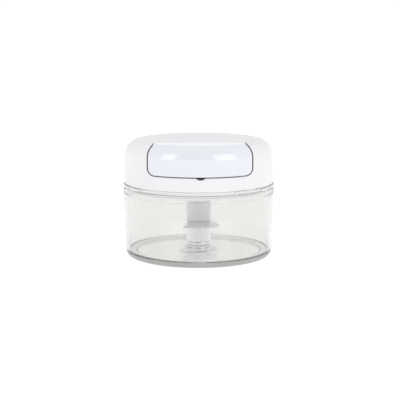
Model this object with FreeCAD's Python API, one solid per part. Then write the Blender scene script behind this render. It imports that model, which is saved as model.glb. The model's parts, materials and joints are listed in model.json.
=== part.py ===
import FreeCAD, Part
import math
import os
from FreeCAD import Vector

# Hand-pulled food processor (pull-cord chopper), in millimetres.
# Origin: centre of the underside. +Z is up, the pull handle faces -Y, +X is to its right.
# A clear bowl carries a twist-on lid. The lid holds a cord reel with a recoil spring, which
# drives three stacked blades through a ratchet and a two-dog coupling.

# ---- driving dimensions -------------------------------------------------------------------
BOWL_BASE_R = 63.5          # bowl wall, outside, just above the foot ring
BOWL_TOP_R = 64.9           # bowl wall, outside, just under the rim band
BAND_R = 65.4               # rim band, outside
RIM_Z = 64.0                # top of the bowl
BAND_Z = 55.2               # lower edge of the rim band
WALL = 2.2                  # bowl and lid wall
FOOT_Z = 5.0                # top of the foot ring
FOOT_ROUND = 5.5            # round of the bottom edge
FLOOR_TOP = 5.2             # inside floor of the bowl
FLOOR_UNDER = 2.7           # underside of that floor
BOWL_CORNER = 1.6           # inside corner between floor and wall
FOOT_T = 1.4                # thickness of the foot ring
FOOT_IN_R = 55.5            # inner edge of the foot ring
FOOT_GROOVE_R = 56.5        # radius of the grip groove under it
GROOVE_HALF = 0.25          # half width and depth of the groove
RIM_ROUND = 0.5

LID_GAP = 0.3               # between bowl rim and lid edge
LID_EDGE_Z = RIM_Z + LID_GAP
LID_EDGE_R = 64.85          # lid wall at its lower edge
LID_SHOULDER_R = 63.6       # lid wall where the shoulder starts
LID_SHOULDER_Z = 89.4
SHOULDER_ROUND = 12.0
DOME_RISE = 0.4

WINDOW_HALF = 44.2          # half width of the handle's opening
WINDOW_FLOOR_Z = 75.5
WINDOW_LOW_ROUND = 6.5
WINDOW_TOP_ROUND = 13.2
WINDOW_SIDE_TOP_Z = 90.8    # where the straight side meets the top round
WINDOW_BACK_Y = -28.4
HANDLE_GAP = 0.8            # between the opening and the handle
POCKET_WALL = 2.0
FRONT_Y = -70.0             # clear in front of everything
HANDLE_BACK_Y = WINDOW_BACK_Y - HANDLE_GAP
HANDLE_WALL = 2.4
SCOOP_R = 6.0               # finger scoop under the handle
SCOOP_Z = 79.9

SKIRT_R = 61.5              # lid base skirt, outside
SKIRT_LOW = 57.5
PLATE_LOW = 61.0            # lid base plate
PLATE_TOP = 63.4
SEAL_R = 62.7               # lip of the seal
SEAL_Z = 58.45              # underside of the seal's foot
SEAL_HEIGHT = 2.0
BOWL_SEAL_R = 63.0          # bowl bore that the seal wipes
RECESS_R = 63.9             # bowl bore above it, for the lugs
RECESS_Z = 60.8
LEDGE_R = 62.1              # inner radius of the ledges that hold the lugs
LEDGE_Z = 62.8
LUG_R = 63.5
LUG_LOW = 61.0
LUG_TOP = 62.5
LUG_ANGLES = (90.0, 210.0, 330.0)
LUG_HALF = 5.0              # degrees each side of its middle
SLOT_HALF = 7.0             # degrees of free entry each side of a lug
LOCK_TURN = 25.0            # degrees from seated to locked
STOP_WIDTH = 1.5            # degrees

SHAFT_R = 3.0
RUNNING = 0.05              # radial clearance of a running fit
BOSS_R = 10.8               # collar of the lid base around the shaft
BOSS_LOW = 45.7
BUSH_R = 5.5
BUSH_TOP = 53.0

HUB_R = 10.6
HUB_TOP = 45.3
CORE_R = 6.4                # keyed core that carries the blades
CORE_FLAT = 5.2             # half width over the core's flats
BLADE_T = 0.8
BLADE_GRIND = 2.4           # width of the ground edge
BLADE_TOP_Z = 29.6          # underside of each blade
BLADE_MIDDLE_Z = 11.4
BLADE_BOTTOM_Z = 8.6
BLADE_MIDDLE_TURN = 180     # degrees from the top blade
BLADE_BOTTOM_TURN = -5
HUB_LOW = 6.2
CUP_R = 8.0                 # drive cup in the hub's top
CUP_FLOOR = 37.5
DOG_TOP = 44.0
DOG_INNER_R = 4.9
DOG_HALF = 20.0             # half angle of a driving or driven dog
DOG_LEAD = 1.5              # free angle before the dogs meet
PIN_R = 2.5
PIN_LOW = 2.4
PIN_TOP = 22.0

CORD_D = 1.8
CORD_PITCH = 1.85
CORD_TURNS = 3.6
DRUM_R = 16.4
CORD_R = DRUM_R + CORD_D / 2  # radius of the cord's centre line on the drum
REEL_R = 23.0
REEL_LOW = 73.8
DRUM_LOW = 75.4
DRUM_TOP = 84.4
REEL_TOP = 86.0
CUP_WALL_LOW = 64.6         # lower edge of the reel's spring cup
DRUM_Z = 80.0               # middle of the drum
CORD_Z = 82.0               # height of the cord's eyelet
EYELET_R = 3.0
EYELET_BORE_R = 1.5

ARBOR_R = 6.6
ARBOR_TOP = 73.5
SPRING_T = 0.5
SPRING_LOW = 65.6
SPRING_TOP = 72.6
SPRING_TURNS = 8

WHEEL_LOW = 86.6
WHEEL_TOP = 90.4
WHEEL_R = 11.0
WHEEL_ROOT = 9.2
WHEEL_TEETH = 8
PAWL_PIVOT = 16.5           # radius of the pawl pins from the shaft
PAWL_PIN_R = 1.5
DECK_LOW = 91.9
DECK_TOP = 94.0
DECK_R = 34.5
DECK_FRONT_Y = -24.6
PILLAR_R = 3.4
PILLAR_AT = ((28.2, -10.3), (17.2, 24.6), (-17.2, 24.6), (-28.2, -10.3))
LID_SCREW_RADIUS = 53.0
LID_SCREW_ANGLES = (-20.0, 40.0, 140.0, 200.0)
HANDLE_SCREW_X = 36.0
HANDLE_SCREW_Z = 88.0

OUT = "parts"


# ---- helpers ------------------------------------------------------------------------------
def edges_through(start, steps, to_point):
    """Edges from start through steps; a step is an end, or a middle and an end of an arc."""
    edges = []
    here = to_point(start[0], start[1])
    for step in steps:
        there = to_point(step[-2], step[-1])
        if len(step) == 4:
            middle = to_point(step[0], step[1])
            edges.append(Part.Arc(here, middle, there).toShape())
        else:
            edges.append(Part.LineSegment(here, there).toShape())
        here = there
    first = to_point(start[0], start[1])
    if here.distanceToPoint(first) > 1e-6:
        edges.append(Part.LineSegment(here, first).toShape())
    return edges


def in_section(r, z):
    return Vector(r, 0, z)


def in_plan(x, y):
    return Vector(x, y, 0)


def turned(start, steps):
    """Solid of revolution about Z from a section given as (radius, height) points."""
    face = Part.Face(Part.Wire(edges_through(start, steps, in_section)))
    return face.revolve(Vector(0, 0, 0), Vector(0, 0, 1), 360)


def slab(start, steps, low, top):
    """Plan outline pulled up from low to top."""
    face = Part.Face(Part.Wire(edges_through(start, steps, in_plan)))
    face.translate(Vector(0, 0, low))
    return face.extrude(Vector(0, 0, top - low))


def rod(radius, low, top, x=0.0, y=0.0):
    return Part.makeCylinder(radius, top - low, Vector(x, y, low))


def rod_y(radius, y_low, y_high, x, z):
    return Part.makeCylinder(radius, y_high - y_low, Vector(x, y_low, z), Vector(0, 1, 0))


def ring(outer, inner, low, top):
    return rod(outer, low, top).cut(rod(inner, low - 1, top + 1))


def box(x_low, x_high, y_low, y_high, z_low, z_high):
    corner = Vector(x_low, y_low, z_low)
    return Part.makeBox(x_high - x_low, y_high - y_low, z_high - z_low, corner)


def sector(outer, inner, low, top, start_deg, end_deg):
    """Part of a ring between two angles."""
    height = top - low
    base = Vector(0, 0, low)
    up = Vector(0, 0, 1)
    wedge = Part.makeCylinder(outer, height, base, up, end_deg - start_deg)
    wedge.rotate(base, up, start_deg)
    return wedge.cut(rod(inner, low - 1, top + 1))


def polar(radius, angle_deg):
    angle = math.radians(angle_deg)
    return (radius * math.cos(angle), radius * math.sin(angle))


def turned_copy(shape, angle_deg):
    copy = shape.copy()
    copy.rotate(Vector(0, 0, 0), Vector(0, 0, 1), angle_deg)
    return copy


def united(shapes):
    return shapes[0].multiFuse(shapes[1:]).removeSplitter()


def pan_screw(head_r, head_h, shank_r, length):
    """Screw standing on z=0 with its head above and its shank below, with a cross recess."""
    head = rod(head_r, 0, head_h)
    top_edges = [edge for edge in head.Edges if edge.BoundBox.ZMin > head_h - 0.01]
    head = head.makeFillet(head_h * 0.45, top_edges)
    slot = head_r * 0.55
    width = head_r * 0.14
    cross = box(-slot, slot, -width, width, head_h * 0.4, head_h + 1)
    cross = cross.fuse(turned_copy(cross, 90))
    shank = rod(shank_r, -length + shank_r, 0)
    tip = Part.makeCone(0.2, shank_r, shank_r, Vector(0, 0, -length))
    return united([head.cut(cross), shank, tip])


def save(name, shape):
    if not shape.isValid():
        print("INVALID", name)
    shape.exportStep(os.path.join(OUT, name + ".step"))
    bounds = shape.BoundBox
    print("%-16s %d solid %10.1f mm3  x %.1f..%.1f  y %.1f..%.1f  z %.1f..%.1f" % (
        name, len(shape.Solids), shape.Volume, bounds.XMin, bounds.XMax,
        bounds.YMin, bounds.YMax, bounds.ZMin, bounds.ZMax))


# ---- bowl ---------------------------------------------------------------------------------
def foot_corner(offset):
    """Middle of the bottom round, moved in by offset, at 45 degrees."""
    reach = (FOOT_ROUND - offset) * math.sqrt(0.5)
    centre_r = BOWL_BASE_R - FOOT_ROUND
    return (centre_r + reach, FOOT_ROUND - reach)


def foot_reach(offset):
    """Radius of the bottom round, moved in by offset, at the top of the foot ring."""
    drop = FOOT_ROUND - FOOT_Z
    return BOWL_BASE_R - FOOT_ROUND + math.sqrt((FOOT_ROUND - offset) ** 2 - drop ** 2)


def make_bowl():
    foot_r = BOWL_BASE_R - FOOT_ROUND
    step_r = foot_reach(FOOT_T)
    bend = foot_corner(FOOT_T)
    slope = (BOWL_TOP_R - BOWL_BASE_R) / (BAND_Z - FOOT_Z)
    wall_in = WALL / math.cos(math.atan(slope))
    low_in = BOWL_BASE_R - wall_in
    corner = BOWL_CORNER * (1 - math.sqrt(0.5))
    rim_bend = RIM_ROUND * (1 - math.sqrt(0.5))
    body = turned((0, FLOOR_UNDER), [
        (FOOT_IN_R - 2.0, FLOOR_UNDER),
        (FOOT_IN_R - 1.0, FOOT_T),
        (foot_r, FOOT_T),
        (bend[0], bend[1], step_r, FOOT_Z),
        (BOWL_BASE_R, FOOT_Z),
        (BOWL_TOP_R, BAND_Z - 0.6),
        (BAND_R, BAND_Z),
        (BAND_R, RIM_Z - RIM_ROUND),
        (BAND_R - rim_bend, RIM_Z - rim_bend, BAND_R - RIM_ROUND, RIM_Z),
        (RECESS_R, RIM_Z),
        (RECESS_R, RECESS_Z),
        (BOWL_SEAL_R, RECESS_Z - 0.3),
        (BOWL_SEAL_R, SKIRT_LOW - 0.4),
        (BOWL_TOP_R - wall_in, SKIRT_LOW - 2.0),
        (low_in, FLOOR_TOP + BOWL_CORNER),
        (low_in - corner, FLOOR_TOP + corner, low_in - BOWL_CORNER, FLOOR_TOP),
        (0, FLOOR_TOP)])
    boss = rod(2.4 * PIN_R, FLOOR_TOP - 1, FLOOR_TOP + 0.8)
    under_boss = rod(3.2 * PIN_R, PIN_LOW - 0.8, FLOOR_UNDER + 1)
    pieces = [body, boss, under_boss]
    for angle in LUG_ANGLES:
        ledge_start = angle - SLOT_HALF - LOCK_TURN
        stop_end = angle + SLOT_HALF + STOP_WIDTH
        pieces.append(sector(RECESS_R + 0.4, LEDGE_R, LEDGE_Z, RIM_Z, ledge_start, angle - SLOT_HALF))
        pieces.append(sector(RECESS_R + 0.4, LEDGE_R, LUG_LOW, LEDGE_Z + 0.5,
                             ledge_start - STOP_WIDTH, ledge_start))
        pieces.append(sector(RECESS_R + 0.4, LEDGE_R, LUG_LOW, RIM_Z, angle + SLOT_HALF, stop_end))
    return united(pieces).cut(rod(PIN_R, PIN_LOW, PIN_TOP))


def make_bowl_pin():
    pin = rod(PIN_R, PIN_LOW, PIN_TOP)
    top_edges = [edge for edge in pin.Edges if edge.BoundBox.ZMin > PIN_TOP - 0.01]
    return pin.makeChamfer(0.6, top_edges)


def make_non_slip_ring():
    foot_r = BOWL_BASE_R - FOOT_ROUND
    chamfer = 0.3
    outer_bend = foot_corner(0.0)
    inner_bend = foot_corner(FOOT_T)
    body = turned((FOOT_IN_R, FOOT_T), [
        (FOOT_IN_R, chamfer),
        (FOOT_IN_R + chamfer, 0.0),
        (foot_r, 0.0),
        (outer_bend[0], outer_bend[1], foot_reach(0.0), FOOT_Z),
        (foot_reach(FOOT_T), FOOT_Z),
        (inner_bend[0], inner_bend[1], foot_r, FOOT_T)])
    return body.cut(ring(FOOT_GROOVE_R + GROOVE_HALF, FOOT_GROOVE_R - GROOVE_HALF, -1, GROOVE_HALF))


def make_seal_ring():
    """Ring with two wiping lips."""
    inner = SKIRT_R - 1.6
    root = SKIRT_R - 0.1
    low = SEAL_Z
    return turned((inner, low), [
        (root, low),
        (SEAL_R, low - 0.2),
        (SEAL_R, low + 0.3),
        (root, low + 0.65),
        (root, low + 1.15),
        (SEAL_R, low + 1.05),
        (SEAL_R, low + 1.55),
        (root, low + SEAL_HEIGHT),
        (inner, low + SEAL_HEIGHT)])


# ---- lid ----------------------------------------------------------------------------------
def lid_envelope(inset, low):
    """Outer form of the lid, drawn in by inset."""
    round_r = SHOULDER_ROUND - inset
    flat_r = LID_SHOULDER_R - SHOULDER_ROUND
    crown = LID_SHOULDER_Z + round_r
    reach = round_r * math.sqrt(0.5)
    return turned((0, low), [
        (LID_EDGE_R - inset, low),
        (LID_SHOULDER_R - inset, LID_SHOULDER_Z),
        (flat_r + reach, LID_SHOULDER_Z + reach, flat_r, crown),
        (flat_r / 2, crown + DOME_RISE * 0.75, 0, crown + DOME_RISE)])


def window_prism(inset, y_front, y_back):
    """Prism along Y with the opening's outline, drawn in by inset and open at the top."""
    half = WINDOW_HALF - inset
    floor = WINDOW_FLOOR_Z + inset
    low_r = WINDOW_LOW_ROUND - inset
    top_r = WINDOW_TOP_ROUND - inset
    low_z = floor + low_r
    low_bend = low_r * (1 - math.sqrt(0.5))
    top_bend = top_r * (1 - math.sqrt(0.5))
    side = WINDOW_SIDE_TOP_Z
    reach = top_r * math.sqrt(0.5)

    def in_front(x, z):
        return Vector(x, y_front, z)

    edges = edges_through((-half + low_r, floor), [
        (half - low_r, floor),
        (half - low_bend, floor + low_bend, half, low_z),
        (half, side),
        (half - top_bend, side + reach, half - top_r, side + top_r),
        (-half + top_r, side + top_r),
        (-half + top_bend, side + reach, -half, side),
        (-half, low_z),
        (-half + low_bend, floor + low_bend, -half + low_r, floor)], in_front)
    return Part.Face(Part.Wire(edges)).extrude(Vector(0, y_back - y_front, 0))


def make_lid_housing():
    shell = lid_envelope(0, LID_EDGE_Z).cut(lid_envelope(WALL, LID_EDGE_Z - 1))
    core = lid_envelope(WALL / 2, LID_EDGE_Z)
    pocket_back = WINDOW_BACK_Y + POCKET_WALL
    pocket = window_prism(-POCKET_WALL, FRONT_Y, pocket_back)
    scoop = rod_y(SCOOP_R, FRONT_Y, WINDOW_BACK_Y, 0, SCOOP_Z)
    scoop_shell = rod_y(SCOOP_R + POCKET_WALL, FRONT_Y, pocket_back, 0, SCOOP_Z)
    inner_parts = [pocket.common(core), scoop_shell.common(core)]
    for angle in LID_SCREW_ANGLES:
        x, y = polar(LID_SCREW_RADIUS, angle)
        inner_parts.append(rod(3.6, LID_EDGE_Z, LID_EDGE_Z + 40, x, y).common(core))
    body = shell.multiFuse(inner_parts)
    for angle in LID_SCREW_ANGLES:
        x, y = polar(LID_SCREW_RADIUS, angle)
        body = body.cut(rod(1.5, PLATE_TOP - 1, PLATE_TOP + 15, x, y))
    body = body.cut(window_prism(0, FRONT_Y, WINDOW_BACK_Y))
    body = body.cut(scoop)
    return body.cut(rod_y(EYELET_R, WINDOW_BACK_Y - 1, pocket_back + 1, 0, CORD_Z))


def make_lid_base():
    groove_r = SKIRT_R - 1.7
    rim_in_r = LID_EDGE_R - WALL - 3.05
    rim_out_r = LID_EDGE_R - WALL - 0.25
    skirt_in_r = SKIRT_R - 3.7
    skirt = turned((skirt_in_r, SKIRT_LOW), [
        (SKIRT_R - 0.4, SKIRT_LOW),
        (SKIRT_R, SKIRT_LOW + 0.3),
        (SKIRT_R, SEAL_Z - 0.35),
        (groove_r, SEAL_Z - 0.15),
        (groove_r, SEAL_Z + SEAL_HEIGHT + 0.15),
        (SKIRT_R, SEAL_Z + SEAL_HEIGHT + 0.35),
        (SKIRT_R, LID_EDGE_Z + 0.1),
        (rim_out_r, LID_EDGE_Z + 0.1),
        (rim_out_r, 66.0),
        (rim_in_r, 66.0),
        (rim_in_r, PLATE_TOP),
        (skirt_in_r, PLATE_TOP)])
    plate = rod(SKIRT_R - 1, PLATE_LOW, PLATE_TOP)
    collar = rod(BOSS_R, BOSS_LOW, PLATE_TOP)
    collar = collar.makeFillet(0.6, [edge for edge in collar.Edges
                                     if edge.BoundBox.ZMax < BOSS_LOW + 0.01])
    arbor = rod(ARBOR_R, PLATE_LOW, ARBOR_TOP)
    pieces = [skirt, plate, collar, arbor]
    for x, y in PILLAR_AT:
        pieces.append(rod(PILLAR_R, PLATE_LOW, DECK_LOW, x, y))
    for angle in LUG_ANGLES:
        pieces.append(sector(LUG_R, SKIRT_R - 1, LUG_LOW, LUG_TOP, angle - LUG_HALF, angle + LUG_HALF))
    for step in range(6):
        rib = box(BOSS_R - 1, skirt_in_r + 0.7, -0.8, 0.8, PLATE_LOW - 2.6, PLATE_LOW + 0.5)
        pieces.append(turned_copy(rib, 30 + 60 * step))
    body = united(pieces)
    body = body.cut(rod(SHAFT_R + 0.3, BOSS_LOW - 1, ARBOR_TOP + 1))
    body = body.cut(rod(BUSH_R, BOSS_LOW - 1, BUSH_TOP))
    body = body.cut(ring(BOSS_R - 2.0, ARBOR_R + 0.6, BUSH_TOP - 3.0, PLATE_TOP + 1))
    body = body.cut(box(SHAFT_R, ARBOR_R + 1, -0.4, 0.4, SPRING_LOW - 0.2, ARBOR_TOP + 1))
    for x, y in PILLAR_AT:
        body = body.cut(rod(1.3, DECK_LOW - 12, DECK_LOW + 1, x, y))
    for angle in LID_SCREW_ANGLES:
        x, y = polar(LID_SCREW_RADIUS, angle)
        body = body.cut(rod(1.7, PLATE_LOW - 1, PLATE_TOP + 1, x, y))
    return body


def make_drive_bush():
    return ring(BUSH_R, SHAFT_R + RUNNING, BOSS_LOW + 0.2, BUSH_TOP)


def make_lid_screws():
    screws = []
    for angle in LID_SCREW_ANGLES:
        screw = pan_screw(3.0, 1.8, 1.5, 13.0)
        screw.rotate(Vector(0, 0, 0), Vector(1, 0, 0), 180)
        x, y = polar(LID_SCREW_RADIUS, angle)
        screw.translate(Vector(x, y, PLATE_LOW))
        screws.append(screw)
    return Part.makeCompound(screws)


def make_mechanism_deck():
    disc = rod(DECK_R, DECK_LOW, DECK_TOP)
    disc = disc.common(box(-50, 50, DECK_FRONT_Y, 50, DECK_LOW - 1, DECK_TOP + 1))
    hub = rod(7.0, DECK_LOW - 0.4, DECK_TOP)
    rim = ring(DECK_R, DECK_R - 1.6, DECK_TOP - 0.5, DECK_TOP + 1.2)
    rim = rim.common(box(-50, 50, DECK_FRONT_Y, 50, DECK_LOW - 1, DECK_TOP + 2))
    body = united([disc, hub, rim])
    for x, y in PILLAR_AT:
        body = body.cut(rod(1.5, DECK_LOW - 1, DECK_TOP + 2, x, y))
        body = body.cut(rod(3.1, DECK_TOP, DECK_TOP + 3, x, y))
    return body.cut(rod(2.5 + RUNNING, DECK_LOW - 2, DECK_TOP + 2))


def make_deck_screws():
    screws = []
    for x, y in PILLAR_AT:
        screw = pan_screw(2.8, 1.7, 1.3, 11.0)
        screw.translate(Vector(x, y, DECK_TOP))
        screws.append(screw)
    return Part.makeCompound(screws)


def make_recoil_spring():
    """Flat spiral of half circles whose centres alternate between two points on X."""
    step = (REEL_R - 2.6 - ARBOR_R - 0.9) / (2 * SPRING_TURNS)
    first_r = ARBOR_R + 0.9
    half = SPRING_T / 2

    def half_turn(index, side):
        radius = first_r + index * step + side * half
        centre = step * (index % 2)
        sign = 1 if index % 2 == 0 else -1
        return (centre, sign * radius, centre - sign * radius, 0)

    outward = [half_turn(index, 1) for index in range(2 * SPRING_TURNS)]
    last = 2 * SPRING_TURNS - 1
    last_inner_r = first_r + last * step - half
    back = [(step + last_inner_r, 0)]
    for index in range(last, -1, -1):
        radius = first_r + index * step - half
        centre = step * (index % 2)
        sign = 1 if index % 2 == 0 else -1
        back.append((centre, sign * radius, centre + sign * radius, 0))
    spiral = slab((first_r + half, 0), outward + back, SPRING_LOW, SPRING_TOP)
    inner_tab = box(SHAFT_R + 0.8, first_r, -0.25, 0.25, SPRING_LOW, SPRING_TOP)
    outer_tab = box(step + last_inner_r, REEL_R - 0.6, -0.25, 0.25, SPRING_LOW, SPRING_TOP)
    return united([spiral, inner_tab, outer_tab])


# ---- pull cord ----------------------------------------------------------------------------
EYELET_BEND = 5.0           # radius of the cord's bend in the eyelet
EYELET_CORNER_Y = -24.6     # where the cord's two straight lines would cross
KNOT_R = 2.3
KNOT_FLAT_Y = HANDLE_BACK_Y - 2.8


def cord_tangent():
    """Point where the cord leaves the drum towards the eyelet, in plan."""
    angle = math.acos(CORD_R / -EYELET_CORNER_Y)
    return (-CORD_R * math.sin(angle), -CORD_R * math.cos(angle))


def make_cord_winding():
    """Outer form of the single layer of turns on the drum."""
    half = (CORD_TURNS * CORD_PITCH + CORD_D) / 2
    return ring(DRUM_R + CORD_D, DRUM_R, DRUM_Z - half, DRUM_Z + half)


def make_cord_lead():
    """Run from the outside of the winding to the pocket, bent once in the eyelet."""
    x, y = cord_tangent()
    leave = Vector(x, y, DRUM_Z + CORD_TURNS * CORD_PITCH / 2)
    corner = Vector(0, EYELET_CORNER_Y, CORD_Z)
    finish = Vector(0, WINDOW_BACK_Y, CORD_Z)
    into = (corner - leave).normalize()
    out = (finish - corner).normalize()
    turn = into.getAngle(out)
    reach = EYELET_BEND * math.tan(turn / 2)
    bend_start = corner - into * reach
    bend_end = corner + out * reach
    inward = (out - into).normalize()
    centre = corner + inward * (EYELET_BEND / math.cos(turn / 2))
    bend_middle = centre - inward * EYELET_BEND
    clear_r = DRUM_R + 1.5 * CORD_D + 0.3
    start = leave + into * math.sqrt(clear_r ** 2 - CORD_R ** 2)
    path = Part.Wire([
        Part.LineSegment(start, bend_start).toShape(),
        Part.Arc(bend_start, bend_middle, bend_end).toShape(),
        Part.LineSegment(bend_end, finish).toShape()])
    profile = Part.Wire([Part.makeCircle(CORD_D / 2, start, into)])
    tube = path.makePipeShell([profile], True, False)
    section = math.pi * (CORD_D / 2) ** 2
    print("cord lead: bend radius %.1f, run %.1f, length %.1f, section x length %.1f, volume %.1f" % (
        EYELET_BEND, (bend_start - start).Length, path.Length, section * path.Length, tube.Volume))
    return tube


def make_cord_eyelet():
    wall_in = WINDOW_BACK_Y + POCKET_WALL
    body = rod_y(EYELET_R, WINDOW_BACK_Y, wall_in, 0, CORD_Z)
    flange = rod_y(EYELET_R + 1.4, wall_in, wall_in + 1.6, 0, CORD_Z)
    flare = Part.makeCone(EYELET_BORE_R, 4.0, 3.0, Vector(0, wall_in - 1.2, CORD_Z), Vector(0, 1, 0))
    bore = rod_y(EYELET_BORE_R, WINDOW_BACK_Y - 1, wall_in, 0, CORD_Z)
    return united([body, flange]).cut(bore).cut(flare)


def make_cord_stretch():
    return rod_y(CORD_D / 2, KNOT_FLAT_Y, WINDOW_BACK_Y, 0, CORD_Z)


def make_cord_knot():
    centre_y = KNOT_FLAT_Y - KNOT_R + 0.2
    knot = Part.makeSphere(KNOT_R, Vector(0, centre_y, CORD_Z))
    tail = rod_y(CORD_D / 2, centre_y - KNOT_R - 3.0, centre_y, 0, CORD_Z)
    behind = box(-5, 5, KNOT_FLAT_Y, KNOT_FLAT_Y + 5, CORD_Z - 5, CORD_Z + 5)
    return united([knot, tail]).cut(behind)


# ---- pull handle --------------------------------------------------------------------------
HANDLE_PLATE_T = 2.5
HANDLE_EDGE_ROUND = 0.7
GRIP_HALF = 28.0            # hollow in the handle's back for the fingertips
GRIP_LOW = 87.2
GRIP_HIGH = 96.8
GRIP_DEPTH = 6.0


def make_handle_cover():
    outer = lid_envelope(0, LID_EDGE_Z).common(window_prism(HANDLE_GAP, FRONT_Y, HANDLE_BACK_Y))
    front = [edge for edge in outer.Edges if edge.BoundBox.YMin < HANDLE_BACK_Y - 1]
    outer = outer.makeFillet(HANDLE_EDGE_ROUND, front)
    hollow = lid_envelope(HANDLE_WALL, LID_EDGE_Z - 2)
    hollow = hollow.common(window_prism(HANDLE_GAP + HANDLE_WALL, FRONT_Y, HANDLE_BACK_Y + 1))
    body = outer.cut(hollow)
    posts = []
    for x in (-HANDLE_SCREW_X, HANDLE_SCREW_X):
        post = rod_y(3.2, FRONT_Y, HANDLE_BACK_Y - HANDLE_PLATE_T, x, HANDLE_SCREW_Z)
        posts.append(post.common(lid_envelope(HANDLE_WALL / 2, LID_EDGE_Z)))
    body = united([body] + posts)
    for x in (-HANDLE_SCREW_X, HANDLE_SCREW_X):
        body = body.cut(rod_y(1.1, HANDLE_BACK_Y - 15, HANDLE_BACK_Y, x, HANDLE_SCREW_Z))
    return body


def make_handle_back():
    plate_front = HANDLE_BACK_Y - HANDLE_PLATE_T
    plate = window_prism(HANDLE_GAP + HANDLE_WALL + 0.1, plate_front, HANDLE_BACK_Y)
    plate = plate.common(lid_envelope(HANDLE_WALL + 0.1, LID_EDGE_Z))
    dish = box(-GRIP_HALF - 2, GRIP_HALF + 2, plate_front - GRIP_DEPTH, plate_front + 1,
               GRIP_LOW - 2, GRIP_HIGH + 1.6)
    upright = [edge for edge in dish.Edges if abs(edge.tangentAt(0).y) > 0.9]
    dish = dish.makeFillet(5.0, upright)
    hollow = box(-GRIP_HALF, GRIP_HALF, plate_front - GRIP_DEPTH + 2, HANDLE_BACK_Y + 1,
                 GRIP_LOW, GRIP_HIGH)
    upright = [edge for edge in hollow.Edges if abs(edge.tangentAt(0).y) > 0.9]
    hollow = hollow.makeFillet(3.6, upright)
    body = united([plate, dish]).cut(hollow)
    for x in (-HANDLE_SCREW_X, HANDLE_SCREW_X):
        body = body.cut(rod_y(1.5, plate_front - 1, HANDLE_BACK_Y + 1, x, HANDLE_SCREW_Z))
        body = body.cut(rod_y(2.7, HANDLE_BACK_Y - 1.5, HANDLE_BACK_Y + 1, x, HANDLE_SCREW_Z))
    return body.cut(rod_y(1.2, plate_front - 1, HANDLE_BACK_Y + 1, 0, CORD_Z))


def make_handle_screws():
    screws = []
    for x in (-HANDLE_SCREW_X, HANDLE_SCREW_X):
        screw = pan_screw(2.4, 1.4, 1.1, 10.0)
        screw.rotate(Vector(0, 0, 0), Vector(1, 0, 0), -90)
        screw.translate(Vector(x, HANDLE_BACK_Y - 1.5, HANDLE_SCREW_Z))
        screws.append(screw)
    return Part.makeCompound(screws)


# ---- reel and ratchet ---------------------------------------------------------------------
POST_AT = (19.6, 62.0)      # spring post of the first pawl: radius and angle


def make_cord_reel():
    bore = SHAFT_R + RUNNING
    hub = rod(7.5, REEL_LOW, REEL_TOP + 0.3)
    low_flange = rod(REEL_R, REEL_LOW, DRUM_LOW)
    drum_in_r = DRUM_R - 2.2
    top_flange = ring(REEL_R - 0.5, drum_in_r, DRUM_TOP, REEL_TOP)
    drum = ring(DRUM_R, drum_in_r, REEL_LOW, REEL_TOP)
    cup = ring(REEL_R, REEL_R - 2.0, CUP_WALL_LOW, REEL_LOW + 0.5)
    pieces = [hub, low_flange, top_flange, drum, cup]
    for turn in (0, 180):
        x, y = polar(PAWL_PIVOT, turn)
        pieces.append(rod(3.0, DRUM_TOP, REEL_TOP + 0.4, x, y))
        x, y = polar(POST_AT[0], POST_AT[1] + turn)
        pieces.append(rod(1.4, REEL_TOP - 0.5, WHEEL_TOP, x, y))
    body = united(pieces)
    body = body.cut(rod(bore, REEL_LOW - 1, REEL_TOP + 2))
    body = body.cut(box(REEL_R - 3, REEL_R + 1, -0.4, 0.4, CUP_WALL_LOW - 1, SPRING_TOP + 0.2))
    for turn in (0, 180):
        x, y = polar(PAWL_PIVOT, turn)
        body = body.cut(rod(PAWL_PIN_R, DRUM_TOP - 1, REEL_TOP + 2, x, y))
        x, y = polar(POST_AT[0], POST_AT[1] + turn)
        slot = box(-0.2, 0.2, -3, 3, REEL_TOP + 0.4, WHEEL_TOP + 1)
        slot = turned_copy(slot, 18.0 + turn)
        slot.translate(Vector(x, y, 0))
        body = body.cut(slot)
    return body


def make_pawl_pins():
    pins = []
    for turn in (0, 180):
        x, y = polar(PAWL_PIVOT, turn)
        stem = rod(PAWL_PIN_R, DRUM_TOP, WHEEL_TOP + 0.4, x, y)
        head = rod(2.5, WHEEL_TOP + 0.4, WHEEL_TOP + 1.2, x, y)
        pins.append(united([stem, head]))
    return Part.makeCompound(pins)


def make_pawl(turn):
    """Pawl whose nose stands just behind a tooth's steep face."""
    nose_angle = 360.0 / WHEEL_TEETH - 0.9
    nose_low = polar(WHEEL_ROOT + 0.4, nose_angle)
    nose_high = polar(WHEEL_R + 1.3, nose_angle)
    heel = polar(WHEEL_R + 0.3, 30.0)
    low = REEL_TOP + 0.7
    arm = slab(nose_low, [heel, (13.9, 1.4), (18.2, 2.4), nose_high], low, WHEEL_TOP)
    eye = rod(3.0, low, WHEEL_TOP, PAWL_PIVOT, 0)
    body = united([arm, eye]).cut(rod(PAWL_PIN_R + RUNNING, low - 1, WHEEL_TOP + 1, PAWL_PIVOT, 0))
    return turned_copy(body, turn)


def make_pawl_springs():
    springs = []
    x, y = polar(POST_AT[0], POST_AT[1])
    for turn in (0, 180):
        leaf = box(-0.15, 0.15, -7.4, 1.6, REEL_TOP + 1.2, WHEEL_TOP - 0.6)
        leaf = turned_copy(leaf, 18.0)
        leaf.translate(Vector(x, y, 0))
        springs.append(turned_copy(leaf, turn))
    return Part.makeCompound(springs)


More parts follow.
